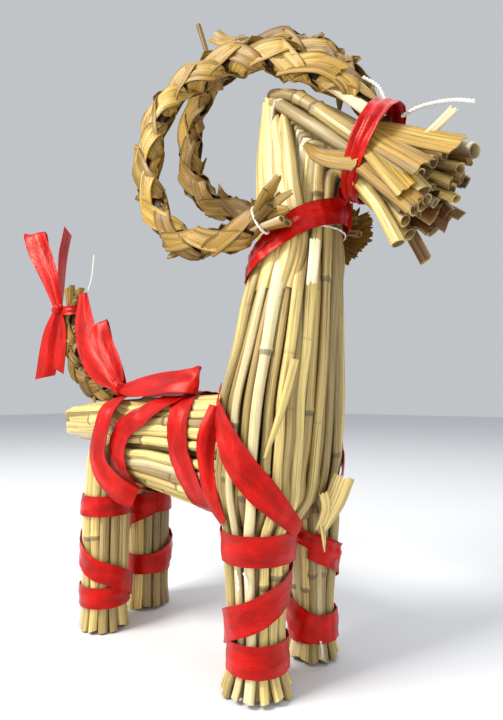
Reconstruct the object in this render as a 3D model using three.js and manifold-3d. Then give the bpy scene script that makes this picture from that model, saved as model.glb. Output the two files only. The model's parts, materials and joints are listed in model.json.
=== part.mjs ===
// A straw Yule goat. Bundles of straw stalks make the legs, the trunk, the neck and the head, the horns
// and the tail are three-strand plaits, and red satin ribbon and white string bind it all.
// Millimetres, +Z up. The goat faces +X and its left side is +Y. The sizes below are given about a point
// on the ground between the front feet, and the last lines move the whole to its own box.
import * as THREE from 'three';
import { mergeVertices } from 'three/addons/utils/BufferGeometryUtils.js';
import Module from 'manifold-3d';

const wasm = await Module();
wasm.setup();

// ---------------------------------------------------------------- driving dimensions
const STALK_WIDTH = 5.2;          // a typical stalk
const FLUTE_DEPTH = 1.3;          // how deep the valley between two stalks is
const RIBBON_WIDTH = 12;
const RIBBON_THICKNESS = 0.6;
const RIBBON_LIFT = 0.85;         // clearance under a ribbon, which spans the valleys between stalks
const JOIN_GAP = 0.3;             // between pieces that touch
const WELD = 0.02;                // corners closer than this are made one
const RIGHT_FRONT_FOOT = { x: 0, y: -18.6 };
const LEFT_FRONT_FOOT = { x: 2.5, y: 20.8 };
const RIGHT_HIND_FOOT = { x: -99, y: -15.7 };
const LEFT_HIND_FOOT = { x: -103.5, y: 17.5 };
const LEG_TOP = 65;               // the front legs run into the neck bundle here
const HIND_LEG_TOP = 90;
const MITRE_CENTRE = new THREE.Vector3(13, 0, 231.5);   // the stalks fold from neck to snout here
const MITRE_HALF_LENGTH = 32;
const MITRE_DOWN = new THREE.Vector3(36, 0, -53).normalize();
const MITRE_NORMAL = new THREE.Vector3(53, 0, 36).normalize();
const SNOUT_TIE = new THREE.Vector3(41, 0, 212);
const SNOUT_DOWN = new THREE.Vector3(-0.458, 0, -0.889);
const SNOUT_END = new THREE.Vector3(70.5, 0, 191.5);
const SNOUT_END_DOWN = new THREE.Vector3(-0.727, 0, -0.687);

const X = new THREE.Vector3(1, 0, 0);
const Y = new THREE.Vector3(0, 1, 0);
const Z = new THREE.Vector3(0, 0, 1);
const vec = (x, y, z) => new THREE.Vector3(x, y, z);
const radians = THREE.MathUtils.degToRad;

// ---------------------------------------------------------------- materials
const material = (color, roughness) => new THREE.MeshStandardMaterial({ color, roughness, metalness: 0 });
const STRAW = material(0xdcc489, 0.5);
const PLAIT_STRAW = material(0xc39a55, 0.5);
const RED_SATIN = material(0xc4161c, 0.35);
const WHITE_STRING = material(0xefeade, 0.85);

// ---------------------------------------------------------------- skins over rings of points
// A closed body over a row of rings. An open row gets a fan at each end, and a closed row joins up.
function skin(rings, closed = false) {
  const count = rings[0].length;
  const points = rings.flat();
  const triangles = [];
  const spans = closed ? rings.length : rings.length - 1;
  for (let i = 0; i < spans; i++) {
    for (let j = 0; j < count; j++) {
      const near = i * count;
      const far = ((i + 1) % rings.length) * count;
      const next = (j + 1) % count;
      triangles.push(near + j, near + next, far + next, near + j, far + next, far + j);
    }
  }
  if (!closed) {
    for (const [start, flip] of [[0, true], [(rings.length - 1) * count, false]]) {
      const centre = vec(0, 0, 0);
      for (let j = 0; j < count; j++) centre.addScaledVector(points[start + j], 1 / count);
      points.push(centre);
      for (let j = 0; j < count; j++) {
        const a = start + j;
        const b = start + (j + 1) % count;
        triangles.push(points.length - 1, flip ? b : a, flip ? a : b);
      }
    }
  }
  return outward(geometryFrom(points.flatMap((p) => [p.x, p.y, p.z]), triangles));
}

function geometryFrom(positions, triangles) {
  const geometry = new THREE.BufferGeometry();
  geometry.setAttribute('position', new THREE.Float32BufferAttribute(positions, 3));
  geometry.setIndex([...triangles]);
  return geometry;
}

// Turns a closed mesh so that its faces point out.
function outward(geometry) {
  const position = geometry.attributes.position;
  const index = geometry.index.array;
  const corner = (k) => vec(position.getX(index[k]), position.getY(index[k]), position.getZ(index[k]));
  let volume = 0;
  for (let i = 0; i < index.length; i += 3) {
    volume += corner(i).dot(corner(i + 1).cross(corner(i + 2)));
  }
  if (volume < 0) {
    for (let i = 0; i < index.length; i += 3) [index[i], index[i + 1]] = [index[i + 1], index[i]];
  }
  return geometry;
}

// ---------------------------------------------------------------- joining and cutting
function solid(geometry) {
  const bare = geometry.clone();
  bare.deleteAttribute('normal');
  bare.deleteAttribute('uv');
  const merged = mergeVertices(bare, 1e-4);
  return new wasm.Manifold(new wasm.Mesh({
    numProp: 3,
    vertProperties: new Float32Array(merged.attributes.position.array),
    triVerts: new Uint32Array(merged.index.array),
  }));
}

function mesh(body) {
  const { vertProperties, triVerts } = body.getMesh();
  return geometryFrom(vertProperties, triVerts);
}

// Joins shapes and fills the small pockets that crossing strips enclose.
function fuse(geometries) {
  const whole = geometries.map(solid).reduce((sum, next) => sum.add(next));
  const shells = whole.decompose().filter((shell) => shell.volume() > 0);
  return weld(mesh(shells.reduce((sum, next) => sum.add(next))));
}

// Draws corners together that a cut leaves closer than WELD, and drops the triangles that this closes.
function weld(geometry) {
  const welded = mergeVertices(geometry, WELD);
  const index = welded.index.array;
  const kept = [];
  for (let i = 0; i < index.length; i += 3) {
    const [a, b, c] = [index[i], index[i + 1], index[i + 2]];
    if (a !== b && b !== c && a !== c) kept.push(a, b, c);
  }
  welded.setIndex(kept);
  return welded;
}

function cut(geometry, tools) {
  return mesh(tools.map(solid).reduce((rest, tool) => rest.subtract(tool), solid(geometry)));
}

// ---------------------------------------------------------------- bundles of stalks
// A bundle runs through stations: s is the distance along it, c its centre, u and v the directions of its
// half widths a and b. An angle of 0 lies along u. A roundness under 1 squares the section off.
class Bundle {
  constructor(stations, roundness = 1) {
    this.stations = stations;
    this.roundness = roundness;
  }

  point(s, degrees, lift = 0) {
    const list = this.stations;
    const last = list.length - 2;
    const i = Math.min(last, Math.max(0, list.findIndex((station) => station.s > s) - 1));
    const at = s >= list[last + 1].s ? last : i;
    const t = (s - list[at].s) / (list[at + 1].s - list[at].s);
    return this.ringPoint(list[at], degrees, lift).lerp(this.ringPoint(list[at + 1], degrees, lift), t);
  }

  ringPoint({ c, u, v, a, b }, degrees, lift) {
    const cos = Math.cos(radians(degrees));
    const sin = Math.sin(radians(degrees));
    const across = Math.sign(cos) * Math.abs(cos) ** this.roundness * (a + lift);
    const along = Math.sign(sin) * Math.abs(sin) ** this.roundness * (b + lift);
    return c.clone().addScaledVector(u, across).addScaledVector(v, along);
  }

  normal(s, degrees) {
    const rise = this.point(s + 0.5, degrees).sub(this.point(s - 0.5, degrees));
    const turn = this.point(s, degrees + 1).sub(this.point(s, degrees - 1));
    const normal = turn.cross(rise).normalize();
    const out = this.point(s, degrees, 1).sub(this.point(s, degrees));
    return normal.dot(out) < 0 ? normal.negate() : normal;
  }

  // The fluted skin: each stalk shows a crest, with a valley between it and the next.
  straw(stalks, depth = FLUTE_DEPTH) {
    const corners = [[0, -depth], [0.5, 0]];
    const ring = (station) => Array.from({ length: stalks }, (_, k) => corners.map(([part, lift]) =>
      this.ringPoint(station, (k + part) * 360 / stalks, lift))).flat();
    return skin(this.stations.map(ring));
  }

  // The plain skin, grown by a clearance, that neighbours are cut with.
  clearance(grow, sides = 20) {
    const ring = (station) => Array.from({ length: sides }, (_, k) =>
      this.ringPoint(station, k * 360 / sides, grow));
    return skin(this.stations.map(ring));
  }
}

// An upright bundle with round or oval level sections: rows of height, centre x, half width x, half width y.
function upright(rows, y = 0) {
  return rows.map(([z, x, a, b = a]) => ({ s: z, c: vec(x, y, z), u: X, v: Y, a, b }));
}

// A straight piece of stalk with an open end, as deep as the hole in it.
function stalkEnd(from, to, radius = STALK_WIDTH / 2, sides = 5) {
  const direction = to.clone().sub(from).normalize();
  const side = Math.abs(direction.y) > 0.9 ? X : Y;
  const u = side.clone().cross(direction).normalize();
  const v = direction.clone().cross(u);
  const holeDepth = 3;
  const wall = 0.55;
  const ring = (centre, r) => Array.from({ length: sides }, (_, k) => centre.clone()
    .addScaledVector(u, r * Math.cos(k * 2 * Math.PI / sides))
    .addScaledVector(v, r * Math.sin(k * 2 * Math.PI / sides)));
  const bottom = to.clone().addScaledVector(direction, -holeDepth);
  return skin([ring(from, radius), ring(to, radius), ring(to, radius * wall), ring(bottom, radius * wall)]);
}

// ---------------------------------------------------------------- strips of ribbon
// A strip through frames of a centre point and an outward normal. Its inner face lies on the points.
function strip(frames, { width = RIBBON_WIDTH, thickness = RIBBON_THICKNESS, closed = false } = {}) {
  const count = frames.length;
  const rings = frames.map(({ point, normal, scale = 1 }, i) => {
    const before = frames[closed ? (i + count - 1) % count : Math.max(0, i - 1)].point;
    const after = frames[closed ? (i + 1) % count : Math.min(count - 1, i + 1)].point;
    const along = after.clone().sub(before).normalize();
    const side = normal.clone().cross(along).normalize().multiplyScalar(width * scale / 2);
    const out = side.clone().cross(along).normalize().multiplyScalar(thickness);
    if (out.dot(normal) < 0) out.negate();
    return [point.clone().sub(side), point.clone().add(side),
      point.clone().add(side).add(out), point.clone().sub(side).add(out)];
  });
  return skin(rings, closed);
}

// A strip laid on a bundle along a route of [s, angle, lift] rows, at even steps of angle. The lift may be
// left out where the strip lies on straw, and is larger where it crosses its own earlier turn.
function wrap(bundle, route, options = {}) {
  const { steps = 24, lift = RIBBON_LIFT, closed = false } = options;
  const first = route[0][1];
  const span = route[route.length - 1][1] - first;
  const frames = Array.from({ length: closed ? steps : steps + 1 }, (_, i) => {
    const angle = first + span * i / steps;
    const found = route.findIndex((row) => (row[1] - angle) * Math.sign(span) > 0);
    const next = found < 1 ? route.length - 1 : found;
    const [from, to] = [route[next - 1], route[next]];
    const t = (angle - from[1]) / (to[1] - from[1]);
    const s = THREE.MathUtils.lerp(from[0], to[0], t);
    const rise = THREE.MathUtils.lerp(from[2] ?? lift, to[2] ?? lift, t);
    return { point: bundle.point(s, angle, rise), normal: bundle.normal(s, angle) };
  });
  return strip(frames, { ...options, closed });
}

// A closed band round a bundle. The height swings by tilt, and is highest at the angle called high. The
// band is gathered narrower by the share called pinch towards angle 0.
function band(bundle, s, { tilt = 0, high = 0, steps = 24, lift = RIBBON_LIFT, pinch = 0, ...options } = {}) {
  const frames = Array.from({ length: steps }, (_, k) => {
    const angle = k * 360 / steps;
    const height = s + tilt * Math.cos(radians(angle - high));
    const scale = 1 - pinch * Math.max(0, Math.cos(radians(angle)));
    return { point: bundle.point(height, angle, lift), normal: bundle.normal(height, angle), scale };
  });
  return strip(frames, { ...options, closed: true });
}

// A free strip through a smooth row of points. Each point is [x, y, z, width scale], and face is the
// direction that the strip's face turns to, blended from the first to the last.
function freeStrip(points, faces, options = {}) {
  const { steps = 10 } = options;
  const curve = new THREE.CatmullRomCurve3(points.map(([x, y, z]) => vec(x, y, z)), false, 'centripetal');
  const frames = curve.getPoints(steps).map((point, i) => {
    const t = i / steps * (points.length - 1);
    const a = Math.min(points.length - 2, Math.floor(t));
    const scale = THREE.MathUtils.lerp(points[a][3] ?? 1, points[a + 1][3] ?? 1, t - a);
    const face = t / (points.length - 1) * (faces.length - 1);
    const f = Math.min(faces.length - 2, Math.floor(face));
    const normal = faces[f].clone().lerp(faces[Math.min(f + 1, faces.length - 1)], face - f).normalize();
    return { point, normal, scale };
  });
  return strip(frames, options);
}

// ---------------------------------------------------------------- cords and plaits
function cord(points, diameter, steps = 12, sides = 6, closed = false) {
  const curve = new THREE.CatmullRomCurve3(points, closed, 'centripetal');
  const frames = curve.computeFrenetFrames(steps, closed);
  const rings = Array.from({ length: closed ? steps : steps + 1 }, (_, i) => {
    const centre = curve.getPointAt(i / steps);
    return Array.from({ length: sides }, (_, k) => centre.clone()
      .addScaledVector(frames.normals[i], diameter / 2 * Math.cos(k * 2 * Math.PI / sides))
      .addScaledVector(frames.binormals[i], diameter / 2 * Math.sin(k * 2 * Math.PI / sides)));
  });
  return skin(rings, closed);
}

// Three flat strands plaited along a curve, as one body that follows their outer outline. Face is the
// direction of the plait's broad side, and rootFace is where that side turns to at the first point.
function plait(points, { face, rootFace, width, pitch, strand, thickness, sides, rootScale, endScale }) {
  const curve = new THREE.CatmullRomCurve3(points, false, 'centripetal');
  const length = curve.getLength();
  const steps = Math.round(length / (pitch / 4));
  const swing = (width - strand) / 2;
  const weave = thickness * 0.5;
  const rings = Array.from({ length: steps + 1 }, (_, i) => {
    const t = i / steps;
    const tangent = curve.getTangentAt(t);
    const turned = rootFace.clone().lerp(face, THREE.MathUtils.smoothstep(t, 0, 0.2));
    const normal = turned.addScaledVector(tangent, -turned.dot(tangent)).normalize();
    const lateral = tangent.clone().cross(normal);
    const scale = THREE.MathUtils.lerp(rootScale, 1, THREE.MathUtils.smoothstep(t, 0, 0.15))
      * THREE.MathUtils.lerp(1, endScale, THREE.MathUtils.smoothstep(t, 0.6, 1));
    const strands = [0, 1, 2].map((k) => {
      const phase = 2 * Math.PI * (length * t / pitch + k / 3);
      return [swing * Math.sin(phase), weave * Math.sin(2 * phase)];
    });
    return Array.from({ length: sides }, (_, j) => {
      const angle = 2 * Math.PI * (j + 0.5) / sides;
      const reach = scale * outerReach(strands, strand / 2, thickness / 2, angle);
      return curve.getPointAt(t)
        .addScaledVector(lateral, reach * Math.cos(angle))
        .addScaledVector(normal, reach * Math.sin(angle));
    });
  });
  return skin(rings);
}

// How far out a ray at an angle leaves the last of some equal ellipses, or half a thickness if it meets none.
function outerReach(centres, halfWidth, halfThickness, angle) {
  const [dx, dy] = [Math.cos(angle) / halfWidth, Math.sin(angle) / halfThickness];
  const exits = centres.map(([x, y]) => {
    const [cx, cy] = [x / halfWidth, y / halfThickness];
    const half = (dx * cx + dy * cy) / (dx * dx + dy * dy);
    const root = half * half - (cx * cx + cy * cy - 1) / (dx * dx + dy * dy);
    return root > 0 ? half + Math.sqrt(root) : 0;
  });
  return Math.max(halfThickness, ...exits);
}

// ---------------------------------------------------------------- the bundles of the body
// A leg splays at its foot. Its rows are height and radius.
const leg = (foot, rows) => new Bundle(upright(rows.map(([z, radius]) => [z, foot.x, radius]), foot.y));
const legEnd = LEG_TOP - JOIN_GAP;
const hindLegRows = [[0, 13.2], [10, 12], [56, 12.4], [73, 11.2], [HIND_LEG_TOP, 9.8]];
const rightFrontLeg = leg(RIGHT_FRONT_FOOT, [[0, 15.6], [9, 12.4], [25, 11.7], [legEnd, 14.8]]);
const leftFrontLeg = leg(LEFT_FRONT_FOOT, [[0, 13], [9, 11], [25, 10.5], [legEnd, 13.6]]);
const rightHindLeg = leg(RIGHT_HIND_FOOT, hindLegRows);
const leftHindLeg = leg(LEFT_HIND_FOOT, hindLegRows);

const neck = new Bundle([
  ...upright([[LEG_TOP, -0.5, 18.7, 35.7], [86, -0.6, 23.4, 36.3], [115, 1.4, 24, 35],
    [137, 5.2, 22, 32], [163, 7.9, 20.5, 26], [187, 10.6, 19.5, 19.5]]),
  {
    s: MITRE_CENTRE.z,
    c: MITRE_CENTRE.clone().addScaledVector(MITRE_NORMAL, -JOIN_GAP),
    u: MITRE_DOWN,
    v: Y,
    a: MITRE_HALF_LENGTH,
    b: 14.5,
  },
]);

const head = new Bundle([
  { s: 0, c: MITRE_CENTRE.clone().addScaledVector(MITRE_NORMAL, JOIN_GAP), u: MITRE_DOWN, v: Y,
    a: MITRE_HALF_LENGTH, b: 14.5 },
  { s: 17, c: vec(28.5, 0, 223), u: vec(0.2, 0, -0.98), v: Y, a: 18, b: 15 },
  { s: 34, c: SNOUT_TIE, u: SNOUT_DOWN, v: Y, a: 13.5, b: 13.5 },
  { s: 41, c: vec(46.5, 0, 208.7), u: SNOUT_DOWN, v: Y, a: 13.5, b: 14 },
]);

const trunkRow = (x, z, a, b) => ({ s: x, c: vec(x, 0, z), u: Y, v: Z, a, b });
const trunk = new Bundle([
  trunkRow(-127, 102.5, 20, 10.5),
  trunkRow(-108, 103, 22, 11.5),
  trunkRow(-88, 104, 23, 12),
  trunkRow(-85, 94, 24, 22.5),
  trunkRow(-30, 91, 25, 27.3),
  trunkRow(-12, 92, 25, 26.5),
], 0.8);

// The stalk ends that stand out of the rump at different lengths.
function rumpEnds() {
  const rows = [[96, [-14.5, -4, 8]], [102.5, [-17, -8, 4, 14]], [108.5, [-11, 0, 10]]];
  return rows.flatMap(([z, places], row) => places.map((y, k) => {
    const reach = 4 + 4 * ((k * 2 + row) % 3);
    return stalkEnd(vec(-118, y, z), vec(-127 - reach, y, z + 0.3), 2.9);
  }));
}

// The snout: beyond its tie the stalks fan out to their cut ends.
function snoutStalks() {
  const rings = [[0.35, 3], [0.92, 10]];
  return rings.flatMap(([radius, count], ring) => Array.from({ length: count }, (_, k) => {
    const angle = 2 * Math.PI * (k + 0.3 * ring) / count;
    const from = vec(44, 0, 210)
      .addScaledVector(SNOUT_DOWN, 11.5 * radius * Math.cos(angle))
      .addScaledVector(Y, 11 * radius * Math.sin(angle));
    const to = SNOUT_END.clone()
      .addScaledVector(SNOUT_END_DOWN, 20.5 * radius * Math.cos(angle))
      .addScaledVector(Y, 19 * radius * Math.sin(angle));
    to.addScaledVector(to.clone().sub(from).normalize(), 2.5 * Math.sin(5 * angle + ring));
    return stalkEnd(from, to, 2.7);
  }));
}

// Flat leaves of the horn plaits, which come out of the tie on top of the snout.
function snoutLeaves() {
  return [[-7, 84, 207], [1.5, 82, 212.5], [9, 78, 209]].map(([y, x, z]) =>
    freeStrip([[47, y * 0.7, 219.5, 0.7], [(47 + x) / 2, y, (222 + z) / 2, 1], [x, y * 1.2, z, 0.9]],
      [vec(0.3, y / 20, 1), vec(0.45, y / 14, 0.9)], { steps: 2, width: 11, thickness: 1.2 }));
}

// ---------------------------------------------------------------- horns and tail
const horn = { width: 14.5, pitch: 42, strand: 8.4, thickness: 2.8, sides: 8, rootScale: 0.5, endScale: 0.75 };
const rightHornPoints = [vec(48, -5.5, 226.6), vec(38.5, -7.5, 239.5), vec(22, -10, 253), vec(1, -12, 266),
  vec(-20, -13, 271.5), vec(-41, -15, 269.5), vec(-57, -18, 260), vec(-62.5, -22, 240), vec(-62, -24, 222),
  vec(-54, -25, 203.5), vec(-38, -26, 187.5), vec(-15, -26.5, 182.5), vec(5, -26.2, 187), vec(11, -26.4, 189)];
const leftHornPoints = [vec(48, 5.5, 226.6), vec(40, 7, 238.5), vec(31, 6.5, 254), vec(9, 5, 275),
  vec(-14, 5, 286), vec(-34, 6, 287), vec(-54, 8, 279.5), vec(-65.5, 11, 266), vec(-69, 13, 245),
  vec(-63, 15, 228), vec(-45, 18, 215.5), vec(-20, 22, 206), vec(8, 25.6, 197), vec(20, 26.8, 192.5)];

// The stalk ends that stick out of a horn's last tie, spread as a small fan.
function tuft(from, direction, count, reach) {
  const side = direction.clone().cross(Y).normalize();
  return Array.from({ length: count }, (_, k) => {
    const angle = 2 * Math.PI * k / count;
    const spread = direction.clone()
      .addScaledVector(side, 0.42 * Math.cos(angle))
      .addScaledVector(Y, 0.28 * Math.sin(angle));
    const to = from.clone().addScaledVector(spread, reach * (1 + 0.25 * Math.sin(3 * k)));
    return stalkEnd(from.clone().addScaledVector(side, 1.2 * Math.cos(angle)), to, 1.9);
  });
}

function rightHorn() {
  const ends = tuft(vec(9, -26.3, 188), vec(0.9, -0.05, 0.42).normalize(), 5, 13);
  const face = { face: vec(0, -1, 0), rootFace: vec(0.3, -0.3, 0.9) };
  return fuse([plait(rightHornPoints, { ...horn, ...face }), ...ends]);
}

function leftHorn() {
  const ends = tuft(vec(18, 26.6, 193.5), vec(0.96, 0.05, -0.25).normalize(), 4, 14);
  const face = { face: vec(0, 1, 0), rootFace: vec(0.3, 0.3, 0.9) };
  return fuse([plait(leftHornPoints, { ...horn, ...face }), ...ends]);
}

const tailPoints = [vec(-104, 0, 119), vec(-118, 0, 118.6), vec(-132, 0, 121.5), vec(-144.5, 0, 129.5),
  vec(-152, 0, 142), vec(-155.3, 0, 156), vec(-155, 0, 168), vec(-153, 0, 178)];

function tail() {
  const tuftEnds = [[-3, -1.2, 7], [2.4, -2, 11], [0.5, 2, 9.5]].map(([dx, dy, up]) =>
    stalkEnd(vec(-154 + dx / 2, dy, 173), vec(-152.5 + dx * 1.6, dy * 1.3, 178 + up), 1.9));
  const braid = plait(tailPoints, { face: vec(0, -1, 0), rootFace: vec(0, -1, 0), width: 11, pitch: 27,
    strand: 6.4, thickness: 2.4, sides: 8, rootScale: 0.7, endScale: 0.9 });
  return fuse([braid, ...tuftEnds]);
}

// ---------------------------------------------------------------- ribbons
// A leg ribbon is wound once round low down, climbs once round the leg and may end in a turn higher up. Turn
// is 1 where it climbs anticlockwise seen from above and -1 where it climbs clockwise. It is lifted where it
// crosses its own first turn and where its last turn crosses the climb.
function legRibbon(leg, { low, top, start, turn = 1, width = RIBBON_WIDTH, lastTurn = true }) {
  const over = RIBBON_LIFT + RIBBON_THICKNESS + 0.35;
  const clear = 360 * (width + 1) / (top - low);
  const rows = [[low, 0], [low, 345], [low + 1, 365, over], [low + width * 1.1, 360 + clear, over],
    [low + width * 1.4, 400 + clear], [top, 720]];
  if (lastTurn) rows.push([top, 1050 - clear], [top, 1075 - clear, over], [top, 1080, over]);
  const route = rows.map(([s, angle, lift]) => [s, start + turn * angle, lift]);
  return wrap(leg, route, { steps: Math.round(rows[rows.length - 1][1] / 25), width });
}

const rightFrontRibbon = legRibbon(rightFrontLeg, { low: 16.5, top: 58, start: 142 });
const leftFrontRibbon = legRibbon(leftFrontLeg, { low: 15.5, top: 52, start: 300, turn: -1, lastTurn: false });
const rightHindRibbon = legRibbon(rightHindLeg, { low: 17.5, top: 62, start: 66, turn: -1, width: 10 });
const leftHindRibbon = legRibbon(leftHindLeg, { low: 25, top: 58, start: -20, width: 10 });

// The breast ribbons come round from the trunk and cross the chest down to the gap between the legs.
const rightBreastRoute = [[118, 222], [104, 256], [93, 277], [86, 291], [78, 308], [70, 325]];
const leftBreastRoute = [[118, 138], [105, 106], [94, 66], [83, 44], [75, 30], [70, 12], [69, -4]];

const rumpRibbonSide = [[-96, -6, 116.6], [-90.5, -18, 115.2], [-88, -25.5, 110], [-88, -28.2, 103],
  [-90, -28.6, 95], [-91, -28.6, 88], [-87.5, -28.4, 80.5], [-81, -27.6, 75], [-75, -26, 71.5]];
const rumpRibbonFaces = [vec(0, -0.3, 1), vec(0, -0.8, 0.6), vec(0, -1, 0.1), vec(0, -1, 0),
  vec(0.1, -1, 0), vec(0.3, -0.9, 0)];
const mirrored = (points) => points.map(([x, y, z, scale]) => [x, -y, z, scale]);
const mirroredFaces = (faces) => faces.map((face) => vec(face.x, -face.y, face.z));

// The girths are closed rounds, given for the right side and mirrored on the left.
const girth = (half) => [...half, ...half.slice(0, -1).reverse().map(([s, angle]) => [s, 540 - angle])];
const rearGirthRoute = girth([[-50, 90], [-52, 120], [-65, 150], [-75, 165], [-80, 182], [-80, 205], [-77, 235],
  [-76, 270]]);
const frontGirthRoute = girth([[-52, 90], [-47, 115], [-43, 137], [-41, 160], [-39, 178], [-35, 190],
  [-32, 205], [-31, 225], [-32, 270]]);

// The bow on the back: a knot and a loop laid along the trunk with its cut end.
const BACK_KNOT = { x: -101, y: -7.6, z: 121.5, radius: 3.8 };
const backKnot = (radius, around, up) =>
  new THREE.SphereGeometry(radius, around, up).translate(BACK_KNOT.x, BACK_KNOT.y, BACK_KNOT.z);

function backBow() {
  const loop = freeStrip([[-99, -8, 121.7, 0.35], [-83, -12, 122.8, 0.8], [-66, -13.5, 124.6, 1],
    [-50, -13, 125.8, 1], [-41.5, -9, 125.6, 1], [-53, -5.5, 124.7, 0.9], [-76, -5.5, 122.6, 0.7],
    [-98, -6.5, 121.2, 0.35]],
  [vec(0.1, -0.8, 0.6), vec(0.2, -0.8, 0.6), vec(1, 0, 0.3), vec(0, 0.6, -0.6), vec(0, 0.6, -0.7)],
  { steps: 9 });
  const end = freeStrip([[-99, -6.5, 120.2, 0.4], [-80, -6.5, 120.4, 0.9], [-60, -6, 121.3, 1],
    [-42, -6, 121.6, 1]], [vec(0, -0.1, 1), vec(0, -0.15, 1)], { steps: 3 });
  return fuse([backKnot(BACK_KNOT.radius, 6, 3), loop, end]);
}

// Two strands of the same ribbon stand up against the tail, a single one and a folded loop. Both start at
// the knot's surface.
const fromKnot = (geometry) => cut(geometry, [backKnot(BACK_KNOT.radius + 2 * JOIN_GAP, 10, 8)]);

function tailStrand() {
  return fromKnot(freeStrip([[-103, -10.4, 122.6, 0.3], [-113, -11.2, 129.5, 0.85], [-124, -10.6, 141, 1],
    [-130.5, -9.8, 157, 0.9], [-133, -8.5, 177, 0.4]], [vec(0.3, -0.9, 0.2), vec(0.4, -0.9, 0)], { steps: 4 }));
}

function tailLoop() {
  return fromKnot(freeStrip([[-100, -4, 123, 0.35], [-100.5, -1.6, 132, 0.7], [-109, -1, 144, 0.9],
    [-118.5, -1.8, 156, 0.8], [-119.5, -4.2, 157, 0.8], [-114, -6.4, 146, 0.85], [-105.5, -6.2, 133, 0.6],
    [-100, -7, 124.5, 0.3]],
  [vec(0.5, 0.8, 0.2), vec(0.5, 0.8, 0.2), vec(-1, 0, 0.7), vec(-0.5, -0.8, -0.2), vec(-0.5, -0.8, -0.2)],
  { steps: 10 }));
}

// The bow on the tail: a binding, a knot behind it, a tall loop, a thin end and two ends hanging down.
function tailBow() {
  const binding = ringOfString(vec(-154.8, 0, 169), vec(0.05, 0, 1), 8, 3, 0.75);
  const knot = new THREE.SphereGeometry(3.4, 6, 3).translate(-161, -6.2, 170.5);
  const loop = freeStrip([[-160.5, -6.5, 171.5, 0.4], [-168, -8, 191, 0.8], [-178, -9.5, 209, 1],
    [-184, -9.5, 221, 1], [-180.5, -5.5, 221.5, 1], [-173, -5.5, 206, 0.9], [-165, -5.5, 188, 0.7],
    [-160.5, -5.8, 172, 0.4]],
  [vec(0.5, -0.8, 0), vec(0.5, -0.8, 0.2), vec(-0.5, 0.8, 0), vec(-0.5, 0.8, 0)], { steps: 7, width: 14 });
  const thinEnd = freeStrip([[-160.5, -5, 171.5, 0.3], [-165.5, -1.5, 186, 0.8], [-166.2, 0, 207, 1],
    [-161.8, 0, 221.5, 1]], [vec(0.8, 0.55, 0), vec(0.85, 0.5, 0)], { steps: 3 });
  const longEnd = freeStrip([[-161, -7, 169.5, 0.4], [-163, -8.2, 157, 0.9], [-165.5, -8.8, 143, 1.05],
    [-168.5, -9.2, 128.5, 1]], [vec(0.5, -0.8, 0), vec(0.55, -0.8, 0)], { steps: 3 });
  const shortEnd = freeStrip([[-160.5, -6, 169.5, 0.4], [-159.5, -5.8, 158, 0.8], [-159.5, -6, 146, 0.9],
    [-161, -6, 133, 0.9]], [vec(0.2, -0.95, 0), vec(0.3, -0.95, 0)], { steps: 3 });
  return fuse([binding, knot, loop, thinEnd, longEnd, shortEnd]);
}

// The halter: a band round the snout's tie that takes in the horns' roots and is gathered at the throat.
function halter() {
  const around = new Bundle([
    { s: 0, c: vec(36.4, 0, 218.8), u: SNOUT_DOWN, v: Y, a: 18, b: 15.4 },
    { s: 20, c: vec(52.4, 0, 210.5), u: SNOUT_DOWN, v: Y, a: 18, b: 17 },
  ], 0.85);
  return band(around, 9.5, { width: 9, steps: 20, lift: 0.8, pinch: 0.3, tilt: 4, high: 270 });
}

const collar = band(neck, 186, { tilt: 15.5, high: 28, steps: 24, lift: 1.8, width: 10 });

// A closed ring of string, flattened to the oval of what it holds.
function ringOfString(centre, axis, radius, diameter, flatness) {
  const other = axis.clone().cross(Y).normalize();
  const points = Array.from({ length: 8 }, (_, k) => centre.clone()
    .addScaledVector(Y, radius * flatness * Math.cos(k * Math.PI / 4))
    .addScaledVector(other, radius * Math.sin(k * Math.PI / 4)));
  return cord(points, diameter, 12, 4, true);
}

function neckString() {
  const points = Array.from({ length: 12 }, (_, k) => neck.point(186.5, k * 30, 0.9));
  return cord(points, 0.8, 16, 4, true);
}

// ---------------------------------------------------------------- small straw trim
// A broken piece of stalk caught in the gap between the front legs, its flat halves spread.
function brokenStalk() {
  const root = vec(20.8, -2.5, 66);
  const halves = [[vec(27, 2, 83), 3.2], [vec(25.5, -5, 80), 2.2]];
  return fuse(halves.map(([tip, width]) => freeStrip([[root.x, root.y, root.z, 0.8],
    [(root.x + tip.x) / 2 + 1.2, (root.y + tip.y) / 2, 75, 1.2], [tip.x, tip.y, tip.z, 0.9]],
  [vec(0.8, -0.6, 0), vec(0.7, -0.7, 0.1)], { steps: 2, width: width * 2, thickness: 0.8 })));
}

// ---------------------------------------------------------------- the goat
const goat = new THREE.Group();

function piece(name, geometry, finish) {
  const node = new THREE.Mesh(geometry, finish);
  node.name = name;
  goat.add(node);
}

piece('right_front_leg_straw', rightFrontLeg.straw(15), STRAW);
piece('left_front_leg_straw', leftFrontLeg.straw(15), STRAW);
piece('right_hind_leg_straw', rightHindLeg.straw(14), STRAW);
piece('left_hind_leg_straw', leftHindLeg.straw(14), STRAW);
piece('neck_straw', neck.straw(26), STRAW);
piece('head_straw', fuse([head.straw(16), ...snoutStalks(), ...snoutLeaves()]), STRAW);
piece('trunk_straw', fuse([cut(trunk.straw(20), [neck.clearance(JOIN_GAP)]), ...rumpEnds()]), STRAW);
piece('right_horn', rightHorn(), PLAIT_STRAW);
piece('left_horn', leftHorn(), PLAIT_STRAW);
piece('tail_plait', tail(), PLAIT_STRAW);
piece('broken_stalk', brokenStalk(), STRAW);

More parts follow.
